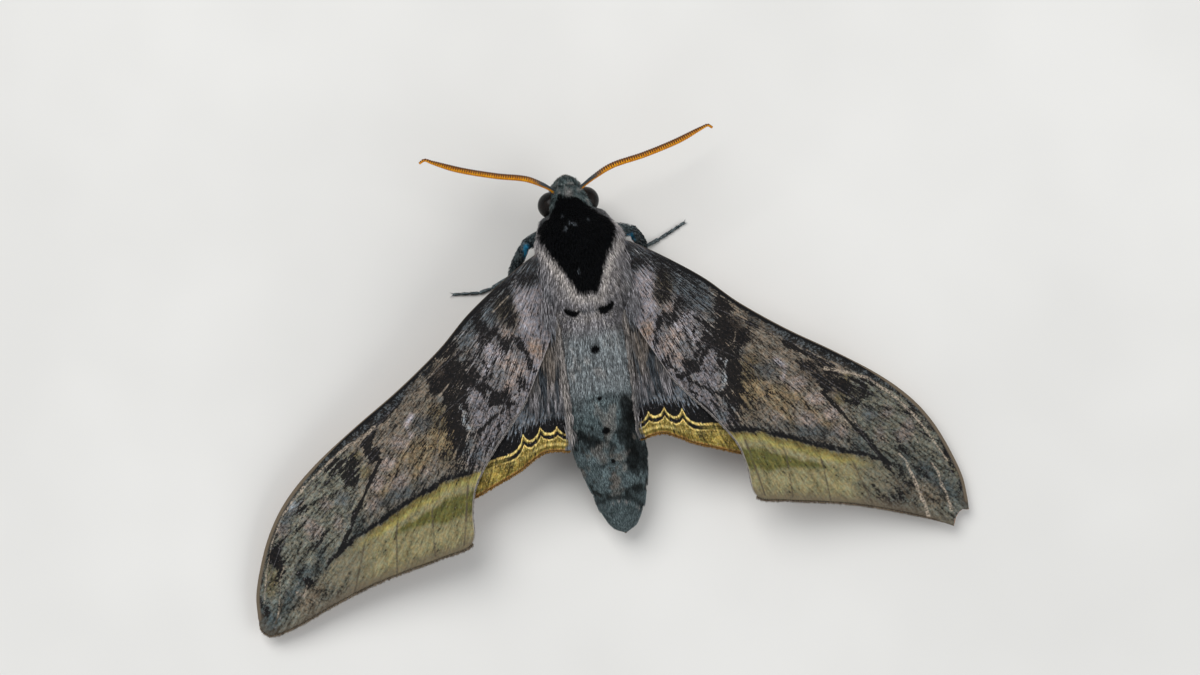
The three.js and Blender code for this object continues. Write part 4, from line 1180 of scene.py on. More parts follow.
    # olive hind border
    streaks = noise(np.column_stack([x * 3.2 - y * 0.9, (y + x * 0.3) * 0.5]), 1.0, 44)
    b = border + 0.12 * streaks + 0.2 * noise(xy, 0.8, 45)
    low = np.interp(x, [17, 20.5, 26.5], [2.1, 2.1, 2.0])
    high = np.interp(x, [17, 20.5, 23.5, 26.5], [4.7, 4.1, 2.9, 2.2])
    band = rise(b, low - 0.3, low + 0.2) * (1 - rise(b, high - 0.2, high + 0.5))
    olive = layered(OLIVE_BROWN, [
        (OLIVE_PALE, rise(b, 0.4, 1.0) * 0.8),
        (OLIVE_GREY, rise(b, 0.9, 1.6)),
        (OLIVE_DARK, band * (1 - rise(x, 25.5, 28)) * 0.9),
        (OLIVE_OUTER, rise(x, 27, 33) * 0.9),
        (OLIVE_BROWN, rise(streaks, 0.0, 0.8) * 0.3),
        (OLIVE_PALE, rise(-streaks, 0.1, 0.9) * (1 - rise(x, 27, 32)) * 0.2),
    ])
    share = rise(b, 0.0, 0.35) * (1 - rise(x + 0.1 * y + sway, *((32, 38) if right else (34, 41))))
    p.tint = blend(p.tint, olive, share)
    p.deep = p.deep * (1 - share) + share * (0.1 * band - 0.05)
    if right:  # its outer field is duller
        p.tint = p.tint * (1 - 0.2 * rise(x, 29, 33) * (1 - share))[:, None]
    lines = np.interp(x, [7, 9.5, 20, 24, 36, 42], [0.2, 0.85, 0.75, 0.45, 0.5, 0.2]) * (1 - share)
    return p.tint, p.deep, lines, 3.3 - 1.9 * share


WORN_LINES = {
    "left": [
        ([(27.0, 16.4), (28.6, 17.6), (30.4, 18.1), (33, 19.7), (36, 21.9), (38.4, 23.9)], 0.3, 0.2),
        ([(36.4, 22.0), (39.4, 25.0), (41.2, 28.0), (42.5, 31.6), (43.3, 35)], 0.16, 0.12),
        ([(35.0, 22.5), (38, 25.0)], 0.06), ([(18.9, 14.1), (18.0, 13.3), (17.1, 12.4)], 0.2, 0.1),
        ([(11.2, 5.4), (9.0, 3.8)], 0.1, 0.06),
        ([(28.8, 23.6), (28.2, 24.3), (28.2, 24.9), (28.8, 25.4), (29.6, 25.8)], 0.1, 0.06),
        ([(19.9, 11.8), (19.1, 11.2)], 0.14),
        ([(40.2, 31.0), (40.9, 32.3), (41.2, 34.2), (41.9, 36.9)], 0.1, 0.12), (21.6, 22.6, 0.16, 0.2),
        (39.1, 34.2, 0.14, 0.12),
        ([(37.8, 33.6), (38.3, 34.8), (38.5, 35.6)], 0.12),
    ],
    "right": [
        ([(27.6, 17.6), (30.2, 18.8), (32.4, 20.0), (34.2, 21.8)], 0.38, 0.3),
        ([(34.0, 21.6), (35.6, 23.2), (37.4, 25.6), (39.0, 28.4), (40.6, 31.6)], 0.3, 0.2),
        ([(34.9, 29.7), (35.6, 30.6), (35.9, 31.8), (36.4, 33.2), (36.7, 34.6), (37.2, 36.2), (37.6, 38.2)],
         0.22, 0.42),
        ([(38.7, 31.5), (39.3, 32.8), (39.4, 34.0), (39.9, 35.4), (40.3, 37.6)], 0.18, 0.32),
        ([(28.6, 23.6), (29.4, 24.6)], 0.2, 0.1), ([(30.2, 24.6), (30.9, 25.8)], 0.16, 0.1),
        ([(33.2, 27.4), (34.2, 28.6)], 0.16, 0.1),
        ([(36.8, 27.6), (37.6, 29.4)], 0.12, 0.08), ([(18.6, 11.6), (18.0, 13.2)], 0.2, 0.12),
    ],
}


def forewing_fields(shell, label):
    """The painted ground of the forewing and distances to its sharper markings."""
    flat, xy = shell["flat"], marking_place(shell["flat"], SIDES[label])
    tint, deep, lines, contrast = paint_forewing(xy, label == "right")
    margin = FOREWING["outer_from"]
    fields = {
        "deep": deep, "lines": lines, "contrast": contrast, "border": from_border(xy),
        "veins": shell["veins"],
        "worn": all_of(stroke(xy, *w) if isinstance(w[0], list) else spot(xy, *w) for w in WORN_LINES[label]),
        "front_edge": line_distance(flat, outer_line(FOREWING, "front")),
        "outer_edge": line_distance(flat, outer_line(shell["plan"], "back", margin)),
        "inner_edge": line_distance(flat, outer_line(FOREWING, "back", 1, margin)),
    }
    return finish_fields(shell, fields, xy), np.tile(tint, (2, 1))


def finish_fields(shell, fields, xy):
    """Adds the places on the wing, along and across its veins, that its material's noises use."""
    fields = {key: np.tile(value, 2) for key, value in fields.items()}
    radius, turn = from_root(shell["flat"])
    nothing = 0 * radius
    fields["plan"] = np.tile(np.column_stack([xy, nothing]), (2, 1))
    fields["fan"] = np.tile(np.column_stack([radius, turn * 30, nothing]), (2, 1))
    fields["top"] = np.concatenate([nothing + 1, nothing])
    return fields


def grain_group():
    """Scale by scale texture: tones that vary, dark scales where deep says so, a few pale ones and
    fine dark lines that wander across the wing where lines says so."""
    inputs = [("Colour", "Color", None), ("Deep", "Float", 0.2), ("Lines", "Float", 0.0),
              ("Contrast", "Float", 2.4), ("Place", "Vector", None), ("Fan", "Vector", None)]
    tree, m, given, result = new_group("scale_grain", inputs, [("Colour", "Color"), ("Height", "Float")])

    def fan_noise(along, across, detail, roughness):
        return m.noise(m.stretched(given["Fan"], along, across, 1), 1.0, detail, roughness)

    fine, streak = fan_noise(2.8, 5.4, 3.0, 0.75), fan_noise(0.5, 4.0, 3.0, 0.7)
    lump = fan_noise(0.5, 1.4, 4.0, 0.62)
    hue = m.noise(given["Place"], 2.3, 2.0)
    total = m.fused(fine, 1.4, m.fused(streak, 1.6, m.times(lump, 1.1)))
    tone = m.fused(m.math("SUBTRACT", total, 2.05), given["Contrast"], 1.0)
    tone = m.node("ShaderNodeClamp", {"Value": tone, "Min": 0.15, "Max": 3.2})
    warm = m.mix(m.step(hue, 0.4, 0.6), np.array([1.1, 0.99, 0.92]), np.array([0.95, 1.0, 1.05]))
    toned = m.scaled(m.vector("MULTIPLY", given["Colour"], warm), tone.outputs[0])
    spread = m.math("SUBTRACT", m.math("ADD", m.math("ADD", fine, streak), lump), 1.5)
    spread = m.fused(spread, -1.9, given["Deep"])
    wave = m.math("ABSOLUTE", m.math("SUBTRACT", fan_noise(0.8, 0.42, 2.5, 0.55), 0.5))
    line = m.times(m.step(wave, 0.024, 0.008), given["Lines"])
    dark = m.math("MAXIMUM", m.step(spread, 0.42, 0.68, 0.0, 0.97), m.times(line, m.step(fine, 0.62, 0.5)))
    pale = m.step(fan_noise(2.2, 5.0, 2.0, 0.7), 0.63, 0.7, 0.0, 0.45)
    made = m.layered(toned, [
        (dark, m.mix(m.step(hue, 0.45, 0.7), WING_BLACK, WING_BROWN)),
        (pale, m.mix(m.step(hue, 0.4, 0.6), PALE_LAVENDER, PALE_PINK)),
    ])
    m.put(result["Colour"], made)
    m.put(result["Height"], m.fused(streak, 0.5, fine))
    return tree


GRAIN = grain_group()


class WingFinish(Finish):
    """What both wings' finishes share: places, speckle, the underside, roughness and bump."""

    def __init__(self, name):
        super().__init__(name, Specular_IOR_Level=0.12)
        self.plan, self.fan = self.attribute("plan", "Vector"), self.attribute("fan", "Vector")
        self.x = self.node("ShaderNodeSeparateXYZ", {0: self.plan}).outputs["X"]
        self.speck = self.noise(self.plan, 4.2, 3.0, 0.65)

    def covered(self, above, height):
        """Ochre underside with brown freckles below, the painted colours above."""
        mottle = self.noise(self.plan, 1.3, 4.0, 0.65)
        under = self.mix(self.step(mottle, 0.47, 0.6), UNDER_OCHRE, UNDER_BROWN)
        base = self.mix(self.step(self.attribute("top"), 0.4, 0.6), under, above)
        rough = self.step(self.speck, 0.3, 0.7, 0.55, 0.8)
        return self.done(Base_Color=base, Roughness=rough, Normal=self.bump(height, 0.03, 0.8))


def forewing_material():
    m = WingFinish("forewing_scales")
    x, speck, veins, border = m.x, m.speck, m.attribute("veins"), m.attribute("border")
    patchy = m.noise(m.plan, 1.0, 3.0, 0.6)
    sway = m.fused(m.math("ADD", speck, patchy), 1.0, -1.0)

    def field(name, amount):
        return m.fused(sway, amount, m.attribute(name))

    painted = {key.title(): m.attribute(key) for key in ("deep", "lines", "contrast")}
    grained = m.group(GRAIN, Colour=m.attribute("tint", "Color"), Place=m.plan, Fan=m.fan, **painted).outputs
    ragged = field("border", 0.5)
    line = m.times(m.step(ragged, -0.55, -0.1), m.step(ragged, 0.24, 0.0),
                   m.step(patchy, 0.36, 0.52, 0.55, 1.0))
    freckles = m.step(m.math("ADD", speck, m.times(patchy, 0.6)), 0.79, 0.9)
    front = m.math("DIVIDE", field("front_edge", 0.7), m.step(x, 27, 40, 1.0, 0.42))
    rim = m.math("DIVIDE", m.attribute("front_edge"), m.step(x, 30, 37, 1.0, 3.8))
    margin = m.times(m.step(field("outer_edge", 0.9), 1.5, 0.0), m.step(x, 15.5, 17))
    dark_veins = m.times(m.step(veins, 0.17, 0.05), m.step(border, 0.6, 1.4))
    ridges = m.times(m.step(veins, 0.09, 0.03), m.step(border, 0.0, -0.8))
    made = m.layered(grained["Colour"], [
        # the border line
        (m.times(line, m.step(x, 36, 29), m.step(x, 15.5, 16.5)), WING_BLACK),
        # the front edge: slate with black freckles, a black line, then a brown rim
        (m.times(m.step(front, 1.5, 1.0), m.step(x, 18, 24, 0.0, 0.92)),
         m.mix(freckles, WING_BLACK, SLATE * 1.15)),
        (m.times(m.step(front, 0.62, 0.4), m.step(x, 6, 14, 0.3, 1.0)), WING_BLACK),
        (m.times(m.step(rim, 0.14, 0.07), m.step(x, 12, 24, 0.2, 1.0)), MARGIN_BROWN * 1.15),
        # margins and veins
        (m.times(margin, m.step(x, 34, 42, 0.75, 0.4)), MARGIN_BROWN),
        (m.times(dark_veins, m.step(patchy, 0.35, 0.55, 0.25, 0.8)), MARGIN_BROWN * 0.6),
        (m.times(ridges, m.step(speck, 0.4, 0.6, 0.0, 0.5)), LAVENDER),
        (m.times(m.step(m.attribute("inner_edge"), 0.1, 0.04), 0.6), HAIR_PALE * 0.8),
        # rubbed places, where the scales are gone
        (m.times(m.step(field("worn", 0.55), 0.07, -0.04), m.step(speck, 0.42, 0.58, 0.05, 0.85)), WORN_PALE),
    ])
    return m.covered(made, grained["Height"])


HIND_YELLOW = colour(204, 182, 112)
HIND_OLIVE = colour(138, 122, 60)
HIND_DEEP = colour(88, 76, 30)
HIND_RIM = colour(128, 96, 50)
HIND_GREY = colour(96, 102, 108)
HIND_HAIR = colour(124, 116, 108)
HIND_HAIR_WARM = colour(150, 139, 129)
HIND_PEAKS = [(5.5, 0.95), (7.5, 1.2), (9.65, 1.35)]  # where the yellow lines point forward, and how far


def hindwing_fields(shell):
    flat, xy = shell["flat"], marking_place(shell["flat"], SIDES["left"])
    x, margin = xy[:, 0], HINDWING["outer_from"]
    fields = {
        "veins": shell["veins"], "outer_edge": line_distance(flat, outer_line(HINDWING, "back", margin)),
        "peaks": sum(reach * np.exp(-np.abs(x - at) / 0.42) for at, reach in HIND_PEAKS),
        "wider": np.interp(x, [4, 9, 11, 13, 17], [0, 0, 0.25, 0.75, 1.3]),
        "inner_edge": line_distance(flat, outer_line(HINDWING, "back", 0, margin)),
    }
    return finish_fields(shell, fields, xy), np.tile(HIND_GREY, (2 * len(x), 1))


def hindwing_material():
    m = WingFinish("hindwing_scales")
    x, speck, edge, peaks = m.x, m.speck, m.attribute("outer_edge"), m.attribute("peaks")
    streak = m.noise(m.stretched(m.fan, 0.7, 4.0, 1), 1.0, 3.0, 0.6)
    shake = m.fused(m.math("ADD", speck, streak), 0.3, -0.3)
    from_rim = m.math("ADD", m.math("SUBTRACT", edge, m.attribute("wider")), shake)
    first, second = m.fused(peaks, -1.0, from_rim), m.fused(peaks, -0.7, from_rim)

    def stripe(at, low, high, soft=0.06):
        return m.times(m.step(at, low - soft, low + soft), m.step(at, high + soft, high - soft))

    sharp = m.step(x, 13.2, 11.0, 0.25, 1.0)
    hair = m.mix(m.step(from_rim, 4.5, 8.5), HAIR_BLUE, HIND_HAIR)
    hair = m.mix(m.step(streak, 0.4, 0.6), HIND_GREY * 0.35, hair)
    hair_ends = m.fused(m.math("SUBTRACT", streak, 0.5), 6.0, from_rim)
    olive = m.mix(m.step(streak, 0.42, 0.6), HIND_DEEP, HIND_OLIVE)
    olive = m.mix(m.times(m.step(speck, 0.5, 0.65), 0.5), olive, HIND_YELLOW)
    made = m.layered(m.mix(m.step(hair_ends, 3.5, 4.3), WING_BLACK, hair), [
        (m.step(first, 1.92, 1.76), olive),
        (m.times(stripe(second, 1.18, 1.62, 0.1), sharp), WING_BLACK),
        (m.times(stripe(first, 1.62, 1.86), m.step(x, 14, 12, 0.5, 1.0)), HIND_YELLOW),
        (m.times(stripe(second, 1.0, 1.16), sharp), HIND_YELLOW),
        (m.times(stripe(from_rim, 0.6, 0.85, 0.15), m.step(x, 9.5, 8.0, 0.2, 0.7)), HIND_YELLOW),
        (m.times(stripe(edge, 0.28, 0.5, 0.1), 0.75), HIND_DEEP),
        (m.step(m.math("ADD", edge, shake), 0.24, 0.1), HIND_RIM),
        (m.times(m.step(m.attribute("veins"), 0.14, 0.04), m.step(first, 1.7, 1.4), 0.5), HIND_DEEP),
        (m.step(m.attribute("inner_edge"), 0.75, 0.35), HIND_GREY * 1.25),
    ])
    grained = m.group(GRAIN, Colour=made, Deep=0.05, Place=m.plan, Fan=m.fan).outputs
    return m.covered(grained["Colour"], grained["Height"])


FORE_MATERIAL = forewing_material()
HIND_MATERIAL = hindwing_material()


def cut_tip(piece):
    """Takes the worn piece out of the wing's tip."""
    count = len(TORN)
    points = [(x, y, height) for height in TORN_HEIGHTS for x, y in TORN]
    faces = [tuple(range(count))[::-1], tuple(range(count, 2 * count))]
    faces += [(i, (i + 1) % count, (i + 1) % count + count, i + count) for i in range(count)]
    cutter = closed_piece("tip_cutter", points, faces, None)
    modifier = piece.modifiers.new("worn_tip", "BOOLEAN")
    modifier.operation, modifier.object, modifier.solver = "DIFFERENCE", cutter, "EXACT"
    piece.data = made_real(piece)
    bpy.data.objects.remove(cutter)


FRINGE_STATIONS = 420


def fringe(name, plan, held, first, last, length, tint, spacing, slot):
    """Fine scales standing out along a wing's outer margin."""
    at = np.linspace(first, last, FRINGE_STATIONS)
    t = at / (len(plan["back"]) - 1)
    shares = np.interp(t * (len(plan["back"]) - 1), np.arange(len(plan["back"])), plan["back_share"])
    sheet = wing_sheet(plan, held, shares, np.ones(len(at)))[1] * (held["side"], 1, 1)
    ahead = unit(np.gradient(sheet, axis=0))
    out = np.cross(ahead, [0, 0, 1.0]) * -held["side"]
    fields = {
        "lie": unit(out + 0.35 * ahead), "face_up": np.tile([0, 0, 1.0], (len(at), 1)),
        "coat": length * np.interp(at, [last - 1, last], [1, 0.15]), "thick": np.ones(len(at)),
    }
    line = new_piece(name + "_line", sheet, [], None, fields, np.tile(tint, (len(at), 1)))
    line.data.edges.add(len(at) - 1)
    pairs = np.column_stack([np.arange(len(at) - 1), np.arange(1, len(at))])
    line.data.edges.foreach_set("vertices", pairs.ravel())
    place = line.data.attributes.new("OFBake", "FLOAT_VECTOR", "POINT")
    place.data.foreach_set("vector", np.column_stack([t, 0 * t + 0.99, 0 * t]).astype(np.float32).ravel())
    grow(name, line, slot, FRINGE_TREE, Spacing=spacing, Width=0.045, Lift=0.0, Mess=0.12, Seed=5)
    bpy.data.objects.remove(line)


def forewing_coat(x, y, side):
    """How thick, how long, which colour and which way the hair at the forewing's root is."""
    end = np.interp(y, [-1, 3, 5, 7, 9], [4.9, 5.0, 5.7, 5.6, 4.4])
    end = end + 0.4 * noise(np.column_stack([x, y, x]), 1.1, 4)
    thick = (1 - rise(x, end - 0.9, end + 0.5)) * rise(x, 4.2, 5.0)
    coat = 0.8 + 0.9 * rise(y, 2, 6)
    tint = blend(HAIR_GREY, HAIR_BLUE, rise(y, 4, 11))
    away = unit(np.column_stack([x - 2, y + 2])) * (side, 1)
    lie = np.column_stack([away[:, 0] * np.interp(y, [2, 7], [0.15, 0.5]), away[:, 1] + 0.5, -0.1 + 0 * x])
    return thick, coat, tint, lie


def hindwing_coat(x, y, side):
    """The same for the long hair of the hindwing, with a pale strip beside the abdomen."""
    end = np.interp(x, [4, 5.2, 6.2, 7.4, 8.6, 10, 12], [17.5, 16.8, 15.6, 16.4, 14.6, 12, 8])
    end = end + 0.6 + 1.3 * noise(np.column_stack([x * 1.7]), 1.0, 9)
    strip = np.exp(-(((x - 4.25) / 0.36) ** 2)) * (1 - rise(y, 20.2, 21.2))
    thick = np.maximum(1 - rise(y, end - 1.2, end), strip)
    coat = np.interp(x, [3.9, 5, 8, 11], [2.2, 2.6, 2.6, 1.6])
    strand = noise(np.column_stack([x * 4 - y * 0.5, y * 0.3]), 1.0, 6)
    tint = layered(HIND_HAIR_WARM, [
        (HAIR_GREY, rise(y + strand, 12, 16)),
        (HIND_GREY * 0.6, rise(-strand, -0.5, 0.5)),
        (HAIR_PALE * 0.75, strip),
    ])
    lie = np.column_stack([side * np.interp(x, [4, 7, 11], [0.0, 0.06, 0.3]), np.ones(len(x)), -0.12 + 0 * x])
    return thick, coat, tint, lie


def make_wing(label, kind):
    held, fore = SIDES[label], kind == "forewing"
    side, slot = held["side"], "wing_scales" if fore else "hindwing_scales"
    if fore:
        plan = FOREWING if side > 0 else FOREWING_RIGHT
        shell = wing_shell(plan, held, FOREWING_VEINS)
        fields, painted = forewing_fields(shell, label)
    else:
        plan = HINDWING
        shell = wing_shell(plan, held, HINDWING_VEINS)
        fields, painted = hindwing_fields(shell)
    thick, coat, tint, lie = (forewing_coat if fore else hindwing_coat)(*shell["flat"].T, side)
    fields["thick"] = np.concatenate([thick, 0 * thick])
    fields["coat"] = np.tile(coat, 2)
    fields["lie"] = np.tile(unit(lie), (2, 1))
    points, faces, uv = shell["points"], shell["faces"], shell["uv"]
    material = FORE_MATERIAL if fore else HIND_MATERIAL
    wing = closed_piece(f"{kind}_{label}_scales", points, faces, material, fields, painted, uv)
    rooted = closed_piece("wing_hair_roots", points, faces, None, fields, np.tile(tint, (2, 1)), uv)
    coat_name, fringe_name, margin = f"coat_{kind}_{label}", f"fringe_{kind}_{label}", plan["outer_from"]
    if fore:
        grow(coat_name, rooted, slot, Density=34.0, Width=0.05, Lift=0.08, Mess=0.12, Seed=31 + side)
        if side < 0:
            cut_tip(wing)
        outer_end = 16.6 if side > 0 else 13.6  # the right one stops before the torn edge
        fringe(fringe_name, plan, held, margin, outer_end, 0.4, MARGIN_BROWN * 1.2, 0.05, slot)
        fringe(f"inner_fringe_{label}", plan, held, 3, margin, 0.2, HAIR_PALE * 0.5, 0.07, slot)
    else:
        grow(coat_name, rooted, slot, Density=30.0, Width=0.06, Lift=0.06, Mess=0.07, Seed=41 + side)
        fringe(fringe_name, plan, held, margin, 11, 0.35, HIND_RIM, 0.05, slot)
    bpy.data.objects.remove(rooted)
    for spare in ("coat", "thick", "lie"):
        wing.data.attributes.remove(wing.data.attributes[spare])
    settle(wing, slot, f"{kind}_{label}")


# ---- Eyes ----


def eye_material():
    """Nearly black glossy facets with a brown bloom."""
    m = Finish("eye_lens", Coat_Roughness=0.15, IOR=1.45, Specular_IOR_Level=0.1)
    place = m.object_place()
    facets = m.node("ShaderNodeTexVoronoi", {"Vector": place, "Scale": 9.0},
                    feature="DISTANCE_TO_EDGE").outputs[0]
    bloom = m.noise(place, 0.7, 3.0)
    base = m.mix(m.step(bloom, 0.4, 0.65), colour(6, 6, 7), colour(26, 18, 14))
    base = m.mix(m.step(facets, 0.0, 0.06), colour(6, 5, 5), base)
    return m.done(
        Base_Color=base, Roughness=m.step(facets, 0.0, 0.08, 0.4, 0.22),
        Coat_Weight=m.step(bloom, 0.3, 0.7, 0.02, 0.07),
        Normal=m.bump(m.step(facets, 0.0, 0.05), 0.01, 0.6),
    )


def make_eyes():
    material = eye_material()
    polar = np.linspace(0.02, np.pi - 0.02, 40)[:, None]
    turn = np.linspace(0, 2 * np.pi, 64, endpoint=False)
    ball = np.dstack([np.sin(polar) * np.cos(turn), np.sin(polar) * np.sin(turn), np.cos(polar) + 0 * turn])
    for label, held in SIDES.items():
        points, faces = loft(ball * EYE_RADIUS * (1, 1, EYE_TALL) + EYE_CENTRES[held["side"]])
        eye = closed_piece(f"eye_{label}", points, faces, material)
        settle(eye, "eye_lens", f"eye_{label}")
        eye.name = f"eye_{label}_lens"


# ---- Feelers ----

FEELERS = {
    "left": [(1.7, -7.45, 7.9), (3.15, -8.4, 9.0), (4.9, -9.3, 9.5), (8.4, -10.2, 9.6), (12.6, -11.6, 9.2),
             (15.4, -12.9, 8.7), (16.3, -13.35, 8.5), (16.9, -13.1, 8.2)],
    "right": [(1.25, -7.4, 7.9), (3.1, -8.45, 9.0), (5.2, -9.35, 9.5), (9.2, -10.05, 9.6), (13.5, -11.1, 9.2),
              (16.5, -12.15, 8.7), (17.4, -12.4, 8.5), (17.9, -12.1, 8.2)],
}
FEELER_RINGS = 64


def horn_material():
    """Orange horn with brown rings, a dark crest along the front and a dark strip at the root."""
    m = Finish("feeler_horn", Specular_IOR_Level=0.2)
    place = m.object_place()
    stain = m.noise(place, 3.0, 3.0)
    start = m.times(m.step(m.attribute("run"), 0.24, 0.12), m.step(m.attribute("front"), -0.2, 0.25))
    base = m.layered(m.mix(m.step(stain, 0.35, 0.65), colour(236, 160, 16), colour(206, 124, 6)), [
        (m.step(m.attribute("ring"), 0.68, 0.95, 0.0, 0.8), colour(120, 62, 8)),
        (m.step(m.attribute("crest"), 0.22, 0.42, 0.0, 0.95), colour(66, 34, 10)),
        (start, colour(50, 58, 62)),
    ])
    rough, ripple = m.step(stain, 0.3, 0.7, 0.35, 0.55), m.noise(place, 14.0, 2.0)
    return m.done(Base_Color=base, Roughness=rough, Normal=m.bump(ripple, 0.015, 0.6))


def make_feelers():
    material = horn_material()
    steps_each, sides = 6, 16
    count = FEELER_RINGS * steps_each
    for label, held in SIDES.items():
        way = np.array(FEELERS[label]) * (held["side"], 1, 1)
        t = np.linspace(0, 1, count)
        path = smooth_curve(way, t)
        run = run_along(path)
        share = run / run[-1]
        path = np.column_stack([np.interp(t, share, path[:, k]) for k in range(3)])
        ring = (t * FEELER_RINGS) % 1
        thick = 0.235 + 0.12 * rise(t, 0, 0.25) - 0.2 * rise(t, 0.7, 1.0) ** 1.4
        thick = thick * (0.88 + 0.17 * ring) + 0.14 * np.exp(-((t / 0.02) ** 2))
        plain = sweep(path, np.ones(count), sides, 1.15) - path[:, None]
        facing = unit(plain) @ unit(np.array([0, -0.8, 0.6]))
        serrate = 0.05 * rise(facing, 0.55, 1.0) * (ring[:, None] > 0.5) * rise(t, 0.04, 0.1)[:, None]
        rings = path[:, None] + plain * (thick[:, None] + serrate)[..., None]
        points, faces = loft(rings)
        crest = facing * (0.4 + 0.6 * (ring[:, None] > 0.5))
        fields = {
            "ring": np.append(np.repeat(ring, sides), [0.0, 0.0]),
            "crest": np.append(crest, [0.0, 0.0]),
            "front": np.append(facing, [0.0, 0.0]),
            "run": np.append(np.repeat(t, sides), [0.0, 1.0]),
        }
        feeler = closed_piece(f"feeler_{label}", points, faces, material, fields)
        settle(feeler, "antenna_horn", f"antenna_{label}")


# ---- Legs, palps and tongue ----

LEG_GLINT_BLUE = colour(58, 160, 205)
LEG_SLATE = colour(34, 44, 48)
LEG_PALE = colour(86, 98, 100)
# Where the painted blue highlight, the glint, lies on each front thigh, as an oval seen from above.
GLINTS = {1: (5.7, -1.1, 0.35, 0.7, 10), -1: (-6.85, -0.75, 0.3, 0.65, 35)}


def leg_material():
    """Close dark scales with a painted blue highlight, a glint, along the thigh."""
    m = Finish("leg_scales", Specular_IOR_Level=0.5)
    place = m.object_place()
    speck = m.noise(place, 5.0, 3.0)
    base = m.mix(m.step(speck, 0.4, 0.62), colour(28, 36, 40), colour(84, 98, 102))
    base = m.mix(m.attribute("glint"), base, LEG_GLINT_BLUE)
    flecked = m.group(FLECKS, Colour=base, Place=place, Size=0.6, Depth=0.5).outputs
    rough = m.step(speck, 0.3, 0.7, 0.35, 0.6)
    return m.done(Base_Color=flecked["Colour"], Roughness=rough, Normal=m.bump(flecked["Height"], 0.02, 0.8))


def node_points(node):
    return mesh_points(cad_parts[node].data)


def spine(node, start, count):
    """The middle line of a limb's solid, from the end nearest to start."""
    points = node_points(node)
    middle = points.mean(0)
    axis = np.linalg.svd(points - middle, full_matrices=False)[2][0]
    reach = (points - middle) @ axis
    if np.linalg.norm(points[reach.argmax()] - start) < np.linalg.norm(points[reach.argmin()] - start):
        reach, axis = -reach, -axis
    low, high = reach.min(), reach.max()
    marks = np.linspace(low, high, count)
    half = (high - low) / (count - 1)
    line = [points[np.abs(reach - mark) <= half].mean(0) for mark in marks]
    line[0] = line[0] + axis * (low - (line[0] - middle) @ axis)
    line[-1] = line[-1] + axis * (high - (line[-1] - middle) @ axis)
    return np.array(line)


def article(a, b, start, middle, end, sides=14, steps=14, bow=0.0):
    """One closed segment of a limb between two points, thickest in its middle."""
    t = np.linspace(0, 1, steps)
    path = np.asarray(a) * (1 - t[:, None]) + np.asarray(b) * t[:, None]
    path = path + np.outer(np.sin(np.pi * t) * bow, [0, 0, 1])
    belly = start * (1 - t) + end * t + (middle - (start + end) / 2) * np.sin(np.pi * t)
    ends = np.sqrt(np.clip(np.minimum(t, 1 - t) * 9 + 0.08, 0, 1))
    return loft(sweep(path, belly * ends, sides))


LEG_NAMES = [f"{pair}_leg_{label}" for pair in ("fore", "mid", "hind") for label in ("left", "right")]


